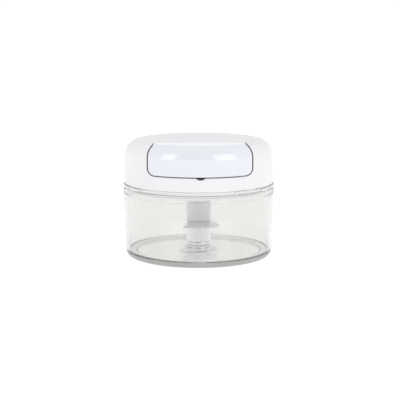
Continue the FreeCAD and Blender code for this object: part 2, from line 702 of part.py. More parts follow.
def make_ratchet_wheel():
    step = 360.0 / WHEEL_TEETH
    start = polar(WHEEL_R, 0)
    steps = []
    for index in range(WHEEL_TEETH):
        middle = polar((WHEEL_R + WHEEL_ROOT) / 2, (index + 0.5) * step)
        root = polar(WHEEL_ROOT, (index + 1) * step)
        steps.append((middle[0], middle[1], root[0], root[1]))
        steps.append(polar(WHEEL_R, (index + 1) * step))
    wheel = slab(start, steps, WHEEL_LOW, WHEEL_TOP)
    collar = rod(5.0, WHEEL_TOP - 0.5, DECK_LOW - 0.8)
    return united([wheel, collar]).cut(rod(SHAFT_R, WHEEL_LOW - 1, DECK_LOW))


def make_drive_shaft():
    body = rod(SHAFT_R, 38.6, DECK_LOW - 0.8)
    journal = rod(2.5, DECK_LOW - 1, DECK_TOP + 2.6)
    groove = ring(4.0, 2.0, DECK_TOP + 0.3, DECK_TOP + 1.1)
    shaft = united([body, journal]).cut(groove)
    top_edges = [edge for edge in shaft.Edges if edge.BoundBox.ZMin > DECK_TOP + 2.59]
    return shaft.makeChamfer(0.4, top_edges)


def make_shaft_clip():
    clip = ring(5.2, 2.0, DECK_TOP + 0.35, DECK_TOP + 1.05)
    mouth = box(0, 7, -1.7, 1.7, DECK_TOP, DECK_TOP + 2)
    return clip.cut(mouth)


def make_drive_dog():
    """Sleeve with two wings that push the hub's dogs when the shaft turns anticlockwise."""
    sleeve = rod(4.6, 38.2, HUB_TOP)
    pieces = [sleeve]
    wing_end = -DOG_HALF - DOG_LEAD
    for turn in (0, 180):
        pieces.append(sector(CUP_R - 0.3, 3.5, 38.2, DOG_TOP - 0.4,
                             wing_end - 2 * DOG_HALF + turn, wing_end + turn))
    return united(pieces).cut(rod(SHAFT_R, 38.6, HUB_TOP + 1))


# ---- blade stack --------------------------------------------------------------------------
def core_section(low, top):
    core = rod(CORE_R, low, top)
    return core.common(box(-CORE_FLAT, CORE_FLAT, -CORE_R, CORE_R, low, top))


def softened(radius, low, top, chamfer):
    """Short cylinder with chamfered ends."""
    body = rod(radius, low, top)
    rims = [edge for edge in body.Edges if isinstance(edge.Curve, Part.Circle)]
    return body.makeChamfer(chamfer, rims)


def make_hub_core():
    head = softened(HUB_R, BLADE_TOP_Z + BLADE_T, HUB_TOP, 0.3)
    cup = rod(CUP_R, CUP_FLOOR, HUB_TOP + 1)
    body = united([head.cut(cup), core_section(HUB_LOW + 0.8, BLADE_TOP_Z + BLADE_T + 0.5)])
    dogs = []
    for turn in (0, 180):
        dogs.append(sector(CUP_R + 0.5, DOG_INNER_R, CUP_FLOOR - 0.5, DOG_TOP,
                           -DOG_HALF + turn, DOG_HALF + turn))
    body = united([body] + dogs)
    body = body.cut(rod(4.0, HUB_LOW - 1, PIN_TOP + 0.2))
    return body.cut(rod(PIN_R + 0.3, PIN_TOP, PIN_TOP + 3))


def make_sleeve(low, top):
    return softened(HUB_R, low, top, 0.25).cut(core_section(low - 1, top + 1))


def make_hub_cap():
    cap = softened(HUB_R, HUB_LOW, BLADE_BOTTOM_Z, 0.4)
    cap = cap.cut(core_section(HUB_LOW + 0.8, BLADE_BOTTOM_Z + 1))
    cap = cap.cut(rod(4.0, HUB_LOW - 1, BLADE_BOTTOM_Z + 1))
    return cap


def make_hub_bush():
    return ring(4.0, PIN_R + RUNNING, HUB_LOW, PIN_TOP)


# Blade outline in plan: a first point, then the middle and the end of each arc.
BLADE_ROOT = (10.4, -4.0)
BLADE_EDGE = (17.3, -19.0, 8.4, -35.6)
BLADE_END = (-2.6, -37.8, -14.0, -36.2)
BLADE_BACK = (-11.6, -20.0, -9.2, -5.0)


def blade_grind(arc, low):
    """Wedge that grinds the blade's rounded edge, swept about the edge's own centre."""
    centre = arc.Center
    top = low + BLADE_T
    inner = centre.x + arc.Radius - BLADE_GRIND
    outer = centre.x + arc.Radius + 1.0
    lip = low + BLADE_T * 0.2
    corners = [Vector(inner, centre.y, top + 0.01), Vector(outer, centre.y, top + 0.01),
               Vector(outer, centre.y, lip - 0.25), Vector(inner, centre.y, top + 0.01)]
    wedge = Part.Face(Part.makePolygon(corners)).revolve(centre, Vector(0, 0, 1), 150)
    wedge.rotate(centre, Vector(0, 0, 1), -90)
    return wedge


def make_blade(low, turn):
    """Broad sickle blade; its rounded edge leads when the hub turns anticlockwise."""
    top = low + BLADE_T
    plan = slab(BLADE_ROOT, [BLADE_EDGE, BLADE_END, BLADE_BACK], low, top)
    edge = edges_through(BLADE_ROOT, [BLADE_EDGE], in_plan)[0]
    plan = plan.cut(blade_grind(edge.Curve, low))
    washer = rod(HUB_R - 0.4, low, top)
    body = turned_copy(united([plan, washer]), turn)
    return body.cut(core_section(low - 1, top + 1))


# ---- all pieces ---------------------------------------------------------------------------
def main():
    os.makedirs(OUT, exist_ok=True)
    save("bowl", make_bowl())
    save("bowl_pin", make_bowl_pin())
    save("non_slip_ring", make_non_slip_ring())
    save("seal_ring", make_seal_ring())
    save("lid_housing", make_lid_housing())
    save("lid_base", make_lid_base())
    save("drive_bush", make_drive_bush())
    save("lid_screws", make_lid_screws())
    save("mechanism_deck", make_mechanism_deck())
    save("deck_screws", make_deck_screws())
    save("recoil_spring", make_recoil_spring())
    save("cord_eyelet", make_cord_eyelet())
    save("cord_lead", make_cord_lead())
    save("cord_winding", make_cord_winding())
    save("cord_stretch", make_cord_stretch())
    save("cord_knot", make_cord_knot())
    save("handle_cover", make_handle_cover())
    save("handle_back", make_handle_back())
    save("handle_screws", make_handle_screws())
    save("cord_reel", make_cord_reel())
    save("pawl_pins", make_pawl_pins())
    save("pawl_right", make_pawl(0))
    save("pawl_left", make_pawl(180))
    save("pawl_springs", make_pawl_springs())
    save("ratchet_wheel", make_ratchet_wheel())
    save("drive_shaft", make_drive_shaft())
    save("shaft_clip", make_shaft_clip())
    save("drive_dog", make_drive_dog())
    save("hub_core", make_hub_core())
    save("hub_sleeve", make_sleeve(BLADE_MIDDLE_Z + BLADE_T, BLADE_TOP_Z))
    save("hub_spacer", make_sleeve(BLADE_BOTTOM_Z + BLADE_T, BLADE_MIDDLE_Z))
    save("hub_cap", make_hub_cap())
    save("hub_bush", make_hub_bush())
    save("blade_top", make_blade(BLADE_TOP_Z, 0))
    save("blade_middle", make_blade(BLADE_MIDDLE_Z, BLADE_MIDDLE_TURN))
    save("blade_bottom", make_blade(BLADE_BOTTOM_Z, BLADE_BOTTOM_TURN))


main()
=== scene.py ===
import json
import math
import bmesh
import bpy
import numpy as np
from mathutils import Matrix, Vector
from mathutils.geometry import delaunay_2d_cdt


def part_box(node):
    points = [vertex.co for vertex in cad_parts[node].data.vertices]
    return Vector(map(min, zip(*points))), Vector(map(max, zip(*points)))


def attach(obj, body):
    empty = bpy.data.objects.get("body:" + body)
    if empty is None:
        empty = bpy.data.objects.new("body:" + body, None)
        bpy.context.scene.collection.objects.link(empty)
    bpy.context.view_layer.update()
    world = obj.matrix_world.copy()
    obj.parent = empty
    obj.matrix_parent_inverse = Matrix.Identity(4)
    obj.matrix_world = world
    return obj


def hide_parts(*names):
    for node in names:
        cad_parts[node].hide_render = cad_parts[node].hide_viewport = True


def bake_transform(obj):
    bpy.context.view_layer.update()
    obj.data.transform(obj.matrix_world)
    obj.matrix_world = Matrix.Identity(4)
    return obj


# Hand-pulled food processor: clear bowl, white twist-on lid with a flush glossy pull handle,
# three steel blades on a white hub. Metres, +Z up, the handle faces -Y.

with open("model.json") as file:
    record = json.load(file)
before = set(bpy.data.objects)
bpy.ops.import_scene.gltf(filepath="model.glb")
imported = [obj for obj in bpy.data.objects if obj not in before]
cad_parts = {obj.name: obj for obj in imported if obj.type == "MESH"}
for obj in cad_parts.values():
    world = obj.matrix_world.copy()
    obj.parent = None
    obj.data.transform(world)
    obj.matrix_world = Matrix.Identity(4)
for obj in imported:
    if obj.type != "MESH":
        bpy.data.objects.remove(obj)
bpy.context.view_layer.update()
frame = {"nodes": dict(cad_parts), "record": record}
MM = 0.001

# ---- places and sizes, from the frame and in metres ----
RIM_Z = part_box("bowl")[1].z
LID_EDGE_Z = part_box("lid_housing")[0].z

WALL = 2.2 * MM
LID_EDGE_R = 64.85 * MM
LID_SHOULDER_R = 63.6 * MM
LID_SHOULDER_Z = 89.4 * MM
SHOULDER_ROUND = 12.0 * MM
DOME_RISE = 0.4 * MM

WINDOW_HALF = 44.2 * MM
WINDOW_FLOOR_Z = 75.5 * MM
WINDOW_LOW_ROUND = 6.5 * MM
WINDOW_TOP_ROUND = 13.2 * MM
WINDOW_SIDE_TOP_Z = 90.8 * MM
WINDOW_BACK = 28.4 * MM
POCKET_WALL = 2.0 * MM
HANDLE_GAP = 0.8 * MM
HANDLE_BACK = WINDOW_BACK + HANDLE_GAP
HANDLE_WALL = 2.4 * MM
HANDLE_SINK = 0.25 * MM     # how far the handle lies under the lid's surface
SCOOP_R = 6.0 * MM
SCOOP_Z = 79.9 * MM
EDGE_ROUND = 0.8 * MM       # of the opening in the lid
HANDLE_ROUND = 1.0 * MM
CORD_Z = 82.0 * MM
CORD_R = 0.9 * MM
EYELET_R = 3.0 * MM

LUG_ANGLES = (90.0, 210.0, 330.0)       # the twist lock, in degrees
LUG_HALF = 5.0
SLOT_HALF = 7.0
LOCK_TURN = 25.0
STOP_WIDTH = 1.5
THIRD = 120.0

LONG_STRAIGHT = 6.0 * MM    # a longer straight gets a support point close to each end
SUPPORT_GAP = 0.1 * MM
ROW_COUNT = 240             # points of a row round the lid


# ---- mesh helpers ----
def new_object(name, verts, faces, body, node, slot, sharp_deg=35.0, look=None, merge=True):
    """Mesh object that rides on a body and replaces a CAD node, in the material of its slot unless
    look names another. Doubled points are merged and faces turned outward."""
    mesh = bpy.data.meshes.new(name)
    mesh.from_pydata([tuple(spot) for spot in verts], [], faces)
    work = bmesh.new()
    work.from_mesh(mesh)
    if merge:
        bmesh.ops.remove_doubles(work, verts=work.verts, dist=1e-6)
        bmesh.ops.dissolve_degenerate(work, edges=work.edges, dist=1e-7)
    bmesh.ops.recalc_face_normals(work, faces=work.faces)
    work.to_mesh(mesh)
    work.free()
    for polygon in mesh.polygons:
        polygon.use_smooth = True
    mesh.set_sharp_from_angle(angle=math.radians(sharp_deg))
    mesh.materials.append(MATERIALS[look or slot])
    piece = bpy.data.objects.new(name, mesh)
    bpy.context.scene.collection.objects.link(piece)
    if body:
        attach(piece, body)
    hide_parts(node)
    return piece


def turn_angles(count):
    """Angles of points spread evenly round a circle."""
    return [2 * math.pi * index / count for index in range(count)]


def join_rows(faces, starts, size, capped=True):
    """Faces between closed rows of points, each given by its first point's number, and their ends."""
    for first, second in zip(starts, starts[1:]):
        for index in range(size):
            nxt = (index + 1) % size
            faces.append((first + index, first + nxt, second + nxt, second + index))
    if capped:
        for start in (starts[0], starts[-1]):
            faces.append(tuple(range(start, start + size)))


def rounded(corners, per_arc=6):
    """Closed outline from (a, b, radius) corners; each corner becomes an arc of its radius."""
    points = []
    count = len(corners)
    for index in range(count):
        here = Vector(corners[index][:2])
        radius = corners[index][2]
        before = Vector(corners[index - 1][:2]) - here
        after = Vector(corners[(index + 1) % count][:2]) - here
        if radius <= 0 or before.length == 0 or after.length == 0:
            points.append((here.x, here.y))
            continue
        before_u = before.normalized()
        after_u = after.normalized()
        spread = before_u.angle(after_u)
        if spread > math.pi - 0.01:
            points.append((here.x, here.y))
            continue
        reach = min(radius / math.tan(spread / 2), 0.49 * before.length, 0.49 * after.length)
        real_r = reach * math.tan(spread / 2)
        centre = here + (before_u + after_u).normalized() * (real_r / math.sin(spread / 2))
        start = here + before_u * reach - centre
        end = here + after_u * reach - centre
        sweep = start.angle(end)
        for step in range(per_arc + 1):
            share = step / per_arc
            spot = start * math.sin((1 - share) * sweep) + end * math.sin(share * sweep)
            spot /= math.sin(sweep)
            points.append((centre.x + spot.x, centre.y + spot.y))
    return supported(points)


def supported(points):
    """Adds a point close to both ends of each long straight, so that its shading stays flat."""
    outline = []
    for index, here in enumerate(points):
        after = points[(index + 1) % len(points)]
        run = Vector(after) - Vector(here)
        outline.append(here)
        if run.length > LONG_STRAIGHT:
            step = run.normalized() * SUPPORT_GAP
            outline += [(here[0] + step.x, here[1] + step.y), (after[0] - step.x, after[1] - step.y)]
    return outline


def lathe(sections, step_deg=1.5):
    """Solid about Z. sections are (start_deg, end_deg, profile_at) that fill a turn, where
    profile_at(angle) gives a closed profile of (radius, height) points.

    All profiles have the same number of points, so a change of profile makes a clean step."""
    verts = []
    starts = []
    for start, end, profile_at in sections:
        count = max(1, round((end - start) / step_deg))
        for index in range(count + 1):
            angle = math.radians(start + (end - start) * index / count)
            starts.append(len(verts))
            verts += [(r * math.cos(angle), r * math.sin(angle), z) for r, z in profile_at(angle)]
    faces = []
    join_rows(faces, starts + [0], starts[1], capped=False)
    return verts, faces


def turned(name, corners, body, node, slot, look=None):
    """Piece turned about Z from the corners of its profile."""
    profile = rounded(corners)
    new_object(name, *lathe([(0, 360, lambda angle: profile)]), body, node, slot, look=look)


def arc_points(centre, radius, start_deg, end_deg, count):
    """Points of an arc in a profile."""
    spots = []
    for angle in np.radians(np.linspace(start_deg, end_deg, count)):
        spots.append((centre[0] + radius * math.cos(angle), centre[1] + radius * math.sin(angle)))
    return spots


def inside_loop(spots, loop):
    """Which of many flat spots lie inside a closed loop, as an array of true and false."""
    spots = np.asarray(spots, dtype=float)
    here = np.asarray(loop, dtype=float)
    before = np.roll(here, 1, axis=0)
    level = spots[:, 1][:, None]
    passes = (here[:, 1] > level) != (before[:, 1] > level)
    rise = before[:, 1] - here[:, 1]
    rise[rise == 0] = 1.0
    crossing = here[:, 0] + (level - here[:, 1]) * (before[:, 0] - here[:, 0]) / rise
    hits = passes & (spots[:, 0][:, None] < crossing)
    return hits.sum(axis=1) % 2 == 1


class Shell:
    """Points and faces of one piece; a point that comes twice is kept once."""

    def __init__(self):
        self.verts = []
        self.faces = []
        self.normals = []
        self.known = {}

    def spot(self, point, normal=(0, 0, 0)):
        point = Vector(point)
        key = tuple(round(value / (0.001 * MM)) for value in point)
        if key not in self.known:
            self.known[key] = len(self.verts)
            self.verts.append(tuple(point))
            self.normals.append(tuple(normal))
        return self.known[key]

    def face(self, indices):
        ring = [index for place, index in enumerate(indices) if index != indices[place - 1]]
        if len(set(ring)) >= 3:
            self.faces.append(ring)

    def strip(self, first, second, closed=True):
        """Faces between two rows of point numbers."""
        count = len(first)
        for index in range(count if closed else count - 1):
            nxt = (index + 1) % count
            self.face((first[index], first[nxt], second[nxt], second[index]))

    def fill(self, outer, holes, spots=(), creases=()):
        """Triangles between an outer loop and holes; every entry is (flat spot, point number)."""
        entries = []
        edges = []
        lines = [(loop, len(loop)) for loop in [outer] + list(holes)]
        lines += [(crease, len(crease) - 1) for crease in creases]
        for line, edge_count in lines:
            start = len(entries)
            entries.extend(line)
            edges.extend((start + i, start + (i + 1) % len(line)) for i in range(edge_count))
        entries.extend(spots)
        flat = [Vector(entry[0]) for entry in entries]
        result = delaunay_2d_cdt(flat, edges, [], 0, 1e-9)
        numbers = [entries[origins[0]][1] for origins in result[3]]
        places = np.array([tuple(spot) for spot in result[0]])
        triangles = np.array(result[2])
        centres = places[triangles].mean(axis=1)
        kept = inside_loop(centres, [entry[0] for entry in outer])
        for hole in holes:
            kept &= ~inside_loop(centres, [entry[0] for entry in hole])
        for triangle in triangles[kept]:
            self.face([numbers[corner] for corner in triangle])

    def build(self, name, body, node, slot, sharp_deg=35.0):
        piece = new_object(name, self.verts, self.faces, body, node, slot, sharp_deg, merge=False)
        if any(normal != (0, 0, 0) for normal in self.normals):
            piece.data.normals_split_custom_set_from_vertices(self.normals)


# ---- materials ----
MATERIALS = {}


def shader(name):
    """Node tree and Principled shader of a new material, which is kept under its name."""
    material = bpy.data.materials.new(name)
    material.use_nodes = True
    MATERIALS[name] = material
    return material.node_tree, material.node_tree.nodes["Principled BSDF"]


def set_inputs(node, values):
    """Constants for the input sockets of a node, by name."""
    for name, value in values.items():
        node.inputs[name].default_value = value


def object_coords(tree, stretch=(1, 1, 1), turn=(0, 0, 0)):
    coords = tree.nodes.new("ShaderNodeTexCoord")
    mapping = tree.nodes.new("ShaderNodeMapping")
    set_inputs(mapping, {"Scale": stretch, "Rotation": turn})
    tree.links.new(coords.outputs["Object"], mapping.inputs["Vector"])
    return mapping.outputs["Vector"]


def noise_node(tree, vector, scale, detail=3.0, rough=0.5):
    node = tree.nodes.new("ShaderNodeTexNoise")
    set_inputs(node, {"Scale": scale, "Detail": detail, "Roughness": rough})
    tree.links.new(vector, node.inputs["Vector"])
    return node.outputs["Fac"]


def ramp_node(tree, value, low, high, from_low=0.3, from_high=0.7):
    """Value mapped to a range (numbers) or to a blend of two colours (tuples)."""
    if isinstance(low, tuple):
        node = tree.nodes.new("ShaderNodeValToRGB")
        for element, place, colour in zip(node.color_ramp.elements, (from_low, from_high), (low, high)):
            element.position = place
            element.color = (*colour, 1)
        tree.links.new(value, node.inputs["Fac"])
        return node.outputs["Color"]
    node = tree.nodes.new("ShaderNodeMapRange")
    set_inputs(node, {"From Min": from_low, "From Max": from_high, "To Min": low, "To Max": high})
    tree.links.new(value, node.inputs["Value"])
    return node.outputs["Result"]


def math_node(tree, operation, first, second):
    node = tree.nodes.new("ShaderNodeMath")
    node.operation = operation
    tree.links.new(first, node.inputs[0])
    tree.links.new(second, node.inputs[1])
    return node.outputs["Value"]


def bump_node(tree, principled, height, strength, distance):
    node = tree.nodes.new("ShaderNodeBump")
    set_inputs(node, {"Strength": strength, "Distance": distance})
    tree.links.new(height, node.inputs["Height"])
    tree.links.new(node.outputs["Normal"], principled.inputs["Normal"])


def plastic(name, dark, light, rough_low, rough_high, grain=1400.0, relief=0.06, coat=0.0):
    """Moulded plastic: faint clouds in the colour, uneven gloss and a fine moulded grain."""
    tree, principled = shader(name)
    vector = object_coords(tree)
    clouds = noise_node(tree, vector, 28.0, 4.0)
    tree.links.new(ramp_node(tree, clouds, dark, light), principled.inputs["Base Color"])
    patches = noise_node(tree, vector, 90.0, 5.0, 0.6)
    tree.links.new(ramp_node(tree, patches, rough_low, rough_high), principled.inputs["Roughness"])
    fine = noise_node(tree, vector, grain, 2.0)
    bump_node(tree, principled, fine, relief, 0.0002)
    set_inputs(principled, {"IOR": 1.5, "Coat Weight": coat, "Coat Roughness": 0.04})


def clear_plastic(name, tint, passing, clear=0.96, rough_low=0.012, rough_high=0.035):
    """Clear, faintly milky moulded plastic with flow marks; it dims the light that falls through
    it only by passing."""
    tree, principled = shader(name)
    vector = object_coords(tree, (1, 1, 3.5))
    flow = noise_node(tree, vector, 16.0, 3.0)
    tree.links.new(ramp_node(tree, flow, rough_low, rough_high), principled.inputs["Roughness"])
    bump_node(tree, principled, flow, 0.05, 0.0006)
    set_inputs(principled, {"Base Color": (*tint, 1), "Transmission Weight": clear, "IOR": 1.49})
    rays = tree.nodes.new("ShaderNodeLightPath")
    through = tree.nodes.new("ShaderNodeBsdfTransparent")
    set_inputs(through, {"Color": (*passing, 1)})
    either = tree.nodes.new("ShaderNodeMixShader")
    dim_ray = math_node(tree, "MAXIMUM", rays.outputs["Is Shadow Ray"], rays.outputs["Is Diffuse Ray"])
    tree.links.new(dim_ray, either.inputs["Fac"])
    tree.links.new(principled.outputs["BSDF"], either.inputs[1])
    tree.links.new(through.outputs["BSDF"], either.inputs[2])
    tree.links.new(either.outputs["Shader"], tree.nodes["Material Output"].inputs["Surface"])


def metal(name, dark, light, rough_low, rough_high, stretch=(1, 1, 1), scale=260.0, relief=0.05):
    """Metal with fine lines drawn out along one axis by stretch."""
    tree, principled = shader(name)
    vector = object_coords(tree, stretch)
    lines = noise_node(tree, vector, scale, 6.0, 0.65)
    tree.links.new(ramp_node(tree, lines, dark, light), principled.inputs["Base Color"])
    tree.links.new(ramp_node(tree, lines, rough_low, rough_high), principled.inputs["Roughness"])
    bump_node(tree, principled, lines, relief, 0.0001)
    set_inputs(principled, {"Metallic": 1.0})


def braid(name, dark, light, pitch=900.0):
    """Braided cord: two crossing sets of strands."""
    tree, principled = shader(name)
    heights = []
    for tilt in (0.9, -0.9):
        wave = tree.nodes.new("ShaderNodeTexWave")
        set_inputs(wave, {"Scale": pitch / 6.2832})
        vector = object_coords(tree, turn=(tilt, 0.0, tilt))
        tree.links.new(vector, wave.inputs["Vector"])
        heights.append(wave.outputs["Fac"])
    top = math_node(tree, "MAXIMUM", *heights)
    tree.links.new(ramp_node(tree, top, dark, light), principled.inputs["Base Color"])
    tree.links.new(ramp_node(tree, top, 0.9, 0.7, 0, 1), principled.inputs["Roughness"])
    bump_node(tree, principled, top, 0.6, 0.0002)


def make_materials():
    clear_plastic("clear_bowl", (0.87, 0.875, 0.86), (0.98, 0.98, 0.98))
    plastic("foot_grey", (0.38, 0.38, 0.365), (0.41, 0.41, 0.395), 0.45, 0.6, 900, 0.1)
    plastic("foot_lining", (0.86, 0.86, 0.85), (0.9, 0.9, 0.89), 0.4, 0.5)
    plastic("seal_silicone", (0.84, 0.84, 0.84), (0.87, 0.87, 0.87), 0.4, 0.55, 700)
    plastic("lid_white", (0.80, 0.795, 0.815), (0.83, 0.825, 0.845), 0.42, 0.54)
    # Lighter than lid_white: painted light on the lid's underside and skirt, which lie in the lid's
    # shade.
    plastic("base_white", (0.92, 0.92, 0.93), (0.94, 0.94, 0.95), 0.4, 0.5)
    plastic("handle_gloss", (0.76, 0.77, 0.83), (0.78, 0.79, 0.85), 0.11, 0.16, 160.0, 0.015, 0.8)
    plastic("handle_inner", (0.79, 0.80, 0.84), (0.82, 0.83, 0.87), 0.38, 0.5)
    # A darker copy of hub_white: painted shade of the lid, for the upper hub.
    plastic("hub_grey", (0.69, 0.68, 0.715), (0.72, 0.71, 0.745), 0.22, 0.32, 600.0, 0.03)
    plastic("hub_white", (0.93, 0.93, 0.945), (0.95, 0.95, 0.965), 0.22, 0.32, 600.0, 0.03)
    plastic("mechanism_plastic", (0.52, 0.53, 0.55), (0.6, 0.61, 0.63), 0.4, 0.55)
    plastic("acetal", (0.8, 0.78, 0.72), (0.86, 0.84, 0.78), 0.3, 0.42, 700.0, 0.05)
    metal("steel", (0.5, 0.5, 0.51), (0.62, 0.62, 0.63), 0.2, 0.36, (1, 1, 30), 40.0)
    metal("blade_steel", (0.64, 0.64, 0.655), (0.80, 0.80, 0.815), 0.05, 0.1, (5, 1, 1), 30.0, 0.03)
    metal("screw_steel", (0.55, 0.55, 0.56), (0.7, 0.7, 0.71), 0.2, 0.34)
    metal("spring_steel", (0.2, 0.22, 0.28), (0.32, 0.34, 0.4), 0.25, 0.4, (1, 1, 20), 60.0)
    metal("brass", (0.62, 0.45, 0.18), (0.75, 0.56, 0.26), 0.22, 0.38, (1, 1, 25), 50.0)
    braid("cord_nylon", (0.5, 0.5, 0.48), (0.82, 0.82, 0.79))


def dress_frame():
    """Every CAD node that stays in sight takes the material of its slot in the record."""
    for entry in frame["record"]["subparts"]:
        node = frame["nodes"][entry["node"]]
        node.data.materials.clear()
        node.data.materials.append(MATERIALS[entry["material_slot"]])


# ---- lid surface ----
class LidSurface:
    """Outer form of the lid, drawn in by inset: a place is (angle from the front, distance
    along the section from the lower edge)."""

    def __init__(self, inset=0.0):
        round_r = SHOULDER_ROUND - inset
        self.flat_r = LID_SHOULDER_R - SHOULDER_ROUND
        self.crown_z = LID_SHOULDER_Z + round_r
        section = []
        for share in np.linspace(0, 1, 12, endpoint=False):
            radius = LID_EDGE_R - inset + (LID_SHOULDER_R - LID_EDGE_R) * share
            section.append((radius, LID_EDGE_Z + (LID_SHOULDER_Z - LID_EDGE_Z) * share))
        section += arc_points((self.flat_r, LID_SHOULDER_Z), round_r, 0, 90, 121)
        for share in np.linspace(1, 0, 60)[1:]:
            section.append((self.flat_r * share, self.crown_z + DOME_RISE * (1 - share * share)))
        self.radii = np.array([spot[0] for spot in section])
        self.heights = np.array([spot[1] for spot in section])
        steps = np.hypot(np.diff(self.radii), np.diff(self.heights))
        self.along = np.concatenate([[0], np.cumsum(steps)])

    def at_height(self, z):
        return float(np.interp(z, self.heights, self.along))

    def at_radius(self, radius):
        return float(np.interp(-radius, -self.radii, self.along))

    def radius(self, along):
        return float(np.interp(along, self.along, self.radii))

    def height(self, along):
        return float(np.interp(along, self.along, self.heights))

    def nearest(self, point):
        """Place on the surface nearest to a point close to it."""
        radius = math.hypot(point[0], point[1])
        gaps = np.hypot(self.radii - radius, self.heights - point[2])
        low = max(0, int(np.argmin(gaps)) - 1)
        fine = np.linspace(self.along[low], self.along[min(low + 2, len(self.along) - 1)], 41)
        fine_r = np.interp(fine, self.along, self.radii)
        fine_z = np.interp(fine, self.along, self.heights)
        best = int(np.argmin(np.hypot(fine_r - radius, fine_z - point[2])))
        return (math.atan2(point[0], -point[1]), float(fine[best]))

    def point(self, place):
        angle, along = place
        radius = self.radius(along)
        return (radius * math.sin(angle), -radius * math.cos(angle), self.height(along))

    def normal(self, place):
        angle, along = place
        step = 0.3 * MM
        low = max(0.0, along - step)
        high = min(self.along[-1], along + step)
        out = self.height(high) - self.height(low)
        up = self.radius(low) - self.radius(high)
        return Vector((out * math.sin(angle), -out * math.cos(angle), up)).normalized()

    def flat(self, place):
        """Spot on the disc that the surface unrolls to, with the top's middle as its centre."""
        reach = self.along[-1] - place[1]
        return (reach * math.sin(place[0]), -reach * math.cos(place[0]))

    def grid(self, low):
        """Evenly spread places over the surface above a distance along the section."""
        places = []
        spacing = 1.7 * MM
        shoulder = self.at_height(LID_SHOULDER_Z)
        crown = self.at_radius(self.flat_r)
        rows = list(np.linspace(low, shoulder, 12)[1:]) + list(np.linspace(shoulder, crown, 27)[1:])
        rows += list(np.linspace(crown, self.along[-1], 20)[1:-1])
        for along in rows:
            count = max(6, min(ROW_COUNT, round(2 * math.pi * self.radius(along) / spacing)))
            places += [(angle - math.pi, float(along)) for angle in turn_angles(count)]
        return places + [(0.0, float(self.along[-1]))]


def opening_section(inset, scoop, end):
    """Front view of the opening's right half: (x, z) points from the bottom's middle, up the side
    and to the angle end of its top arc."""
    half = WINDOW_HALF - inset
    floor = WINDOW_FLOOR_Z + inset
    low_r = WINDOW_LOW_ROUND - inset
    top_r = WINDOW_TOP_ROUND - inset
    if scoop:
        scoop_r = SCOOP_R - inset
        scoop_end = math.degrees(math.acos((SCOOP_Z - floor) / scoop_r))
        spots = arc_points((0, SCOOP_Z), scoop_r, -90, -90 + scoop_end, 15)
    else:
        spots = [(x, floor) for x in np.linspace(0, SCOOP_R, 6)]
    spots += [(x, floor) for x in np.linspace(spots[-1][0], half - low_r, 26)[1:]]
    spots += arc_points((half - low_r, floor + low_r), low_r, -90, 0, 15)[1:]
    spots += [(half, z) for z in np.linspace(floor + low_r, WINDOW_SIDE_TOP_Z, 9)[1:]]
    spots += arc_points((half - top_r, WINDOW_SIDE_TOP_Z), top_r, 0, end, 21)[1:]
    return spots


def opening(shell, surface, inset, back, edge_round, inward, scoop):
    """Lip and side walls of the opening, or of the handle that fills it.

    Returns the lip's loop on the surface and the loop of the walls' ends on the back plane."""
    top_r = WINDOW_TOP_ROUND - inset
    end = math.degrees(math.asin((surface.crown_z - WINDOW_SIDE_TOP_Z) / top_r))
    wall_end = end - math.degrees(edge_round / top_r)
    section = opening_section(inset, scoop, wall_end)
    corner = arc_points((WINDOW_HALF - inset - top_r, WINDOW_SIDE_TOP_Z), top_r, end, end, 1)[0]
    rows = 7
    back_count = 24
    corners = []
    ends = []
    for x, z in section:
        radius = surface.radius(surface.at_height(z))
        y = -math.sqrt(radius ** 2 - x ** 2)
        corners.append((x, y, z))
        ends.append((x, y + edge_round, z))
    walls = [[(x, float(y), z) for y in np.linspace(y_front, -back, rows)] for x, y_front, z in ends]
    front_y = -math.sqrt(surface.flat_r ** 2 - corner[0] ** 2)
    x, y_front, z = ends[-1]
    last_rows = [y_front] + list(np.linspace(front_y + edge_round / 2, -back, rows - 1))
    walls[-1] = [(x, float(y), z) for y in last_rows]
    corners.append((corner[0], front_y, surface.crown_z))
    ends.append(walls[-1][1])
    for spot in walls[-1][2:]:
        height = surface.height(surface.at_radius(math.hypot(corner[0], spot[1])))
        corners.append((corner[0], spot[1], height))
        ends.append(spot)
    back_start = len(corners)
    for x in np.linspace(corner[0], 0, back_count):
        height = surface.height(surface.at_radius(math.hypot(x, back)))
        corners.append((float(x), -back, height))
        ends.append((float(x), -back, height - edge_round))
    corners = with_mirror(corners)
    ends = with_mirror(ends)

    lip = lip_places(surface, corners, edge_round, inward)
    loops = []
    steps = 7 if edge_round else 1
    for step in range(steps):
        share = step / max(1, steps - 1)
        loop = []
        for place, bend, finish in zip(lip, corners, ends):
            middle = Vector(bend)
            start = Vector(surface.point(place)) if edge_round else middle
            spot = start * (1 - share) ** 2 + middle * 2 * share * (1 - share)
            spot += Vector(finish) * share ** 2
            normal = (0, 0, 0)
            if share < 0.5:
                face_way = surface.normal(place)
                side_way = (middle - start).normalized() if edge_round else face_way
                normal = (face_way * (1 - share) + side_way * share).normalized()
            loop.append(shell.spot(spot, normal))
        loops.append(loop)
    for first, second in zip(loops, loops[1:]):
        shell.strip(first, second)
    columns = [[shell.spot(point) for point in wall] for wall in walls]
    mirror = [[shell.spot((-x, y, z)) for x, y, z in wall] for wall in walls[1:]]
    for side in (columns, [columns[0]] + mirror):
        for first, second in zip(side, side[1:]):
            shell.strip(first, second, closed=False)
    back_points = with_mirror([wall[-1] for wall in walls] + ends[back_start:back_start + back_count])
    back_loop = [((x, z), shell.spot((x, y, z))) for x, y, z in back_points]
    lip_loop = [(surface.flat(place), number) for place, number in zip(lip, loops[0])]
    return distinct(lip_loop), distinct(back_loop)


def with_mirror(points):
    """Right half of a loop and its mirror image."""
    return points + [(-x, y, z) for x, y, z in reversed(points[1:-1])]


def distinct(loop):
    """Loop without neighbours that are the same point."""
    return [entry for place, entry in enumerate(loop) if entry[1] != loop[place - 1][1]]


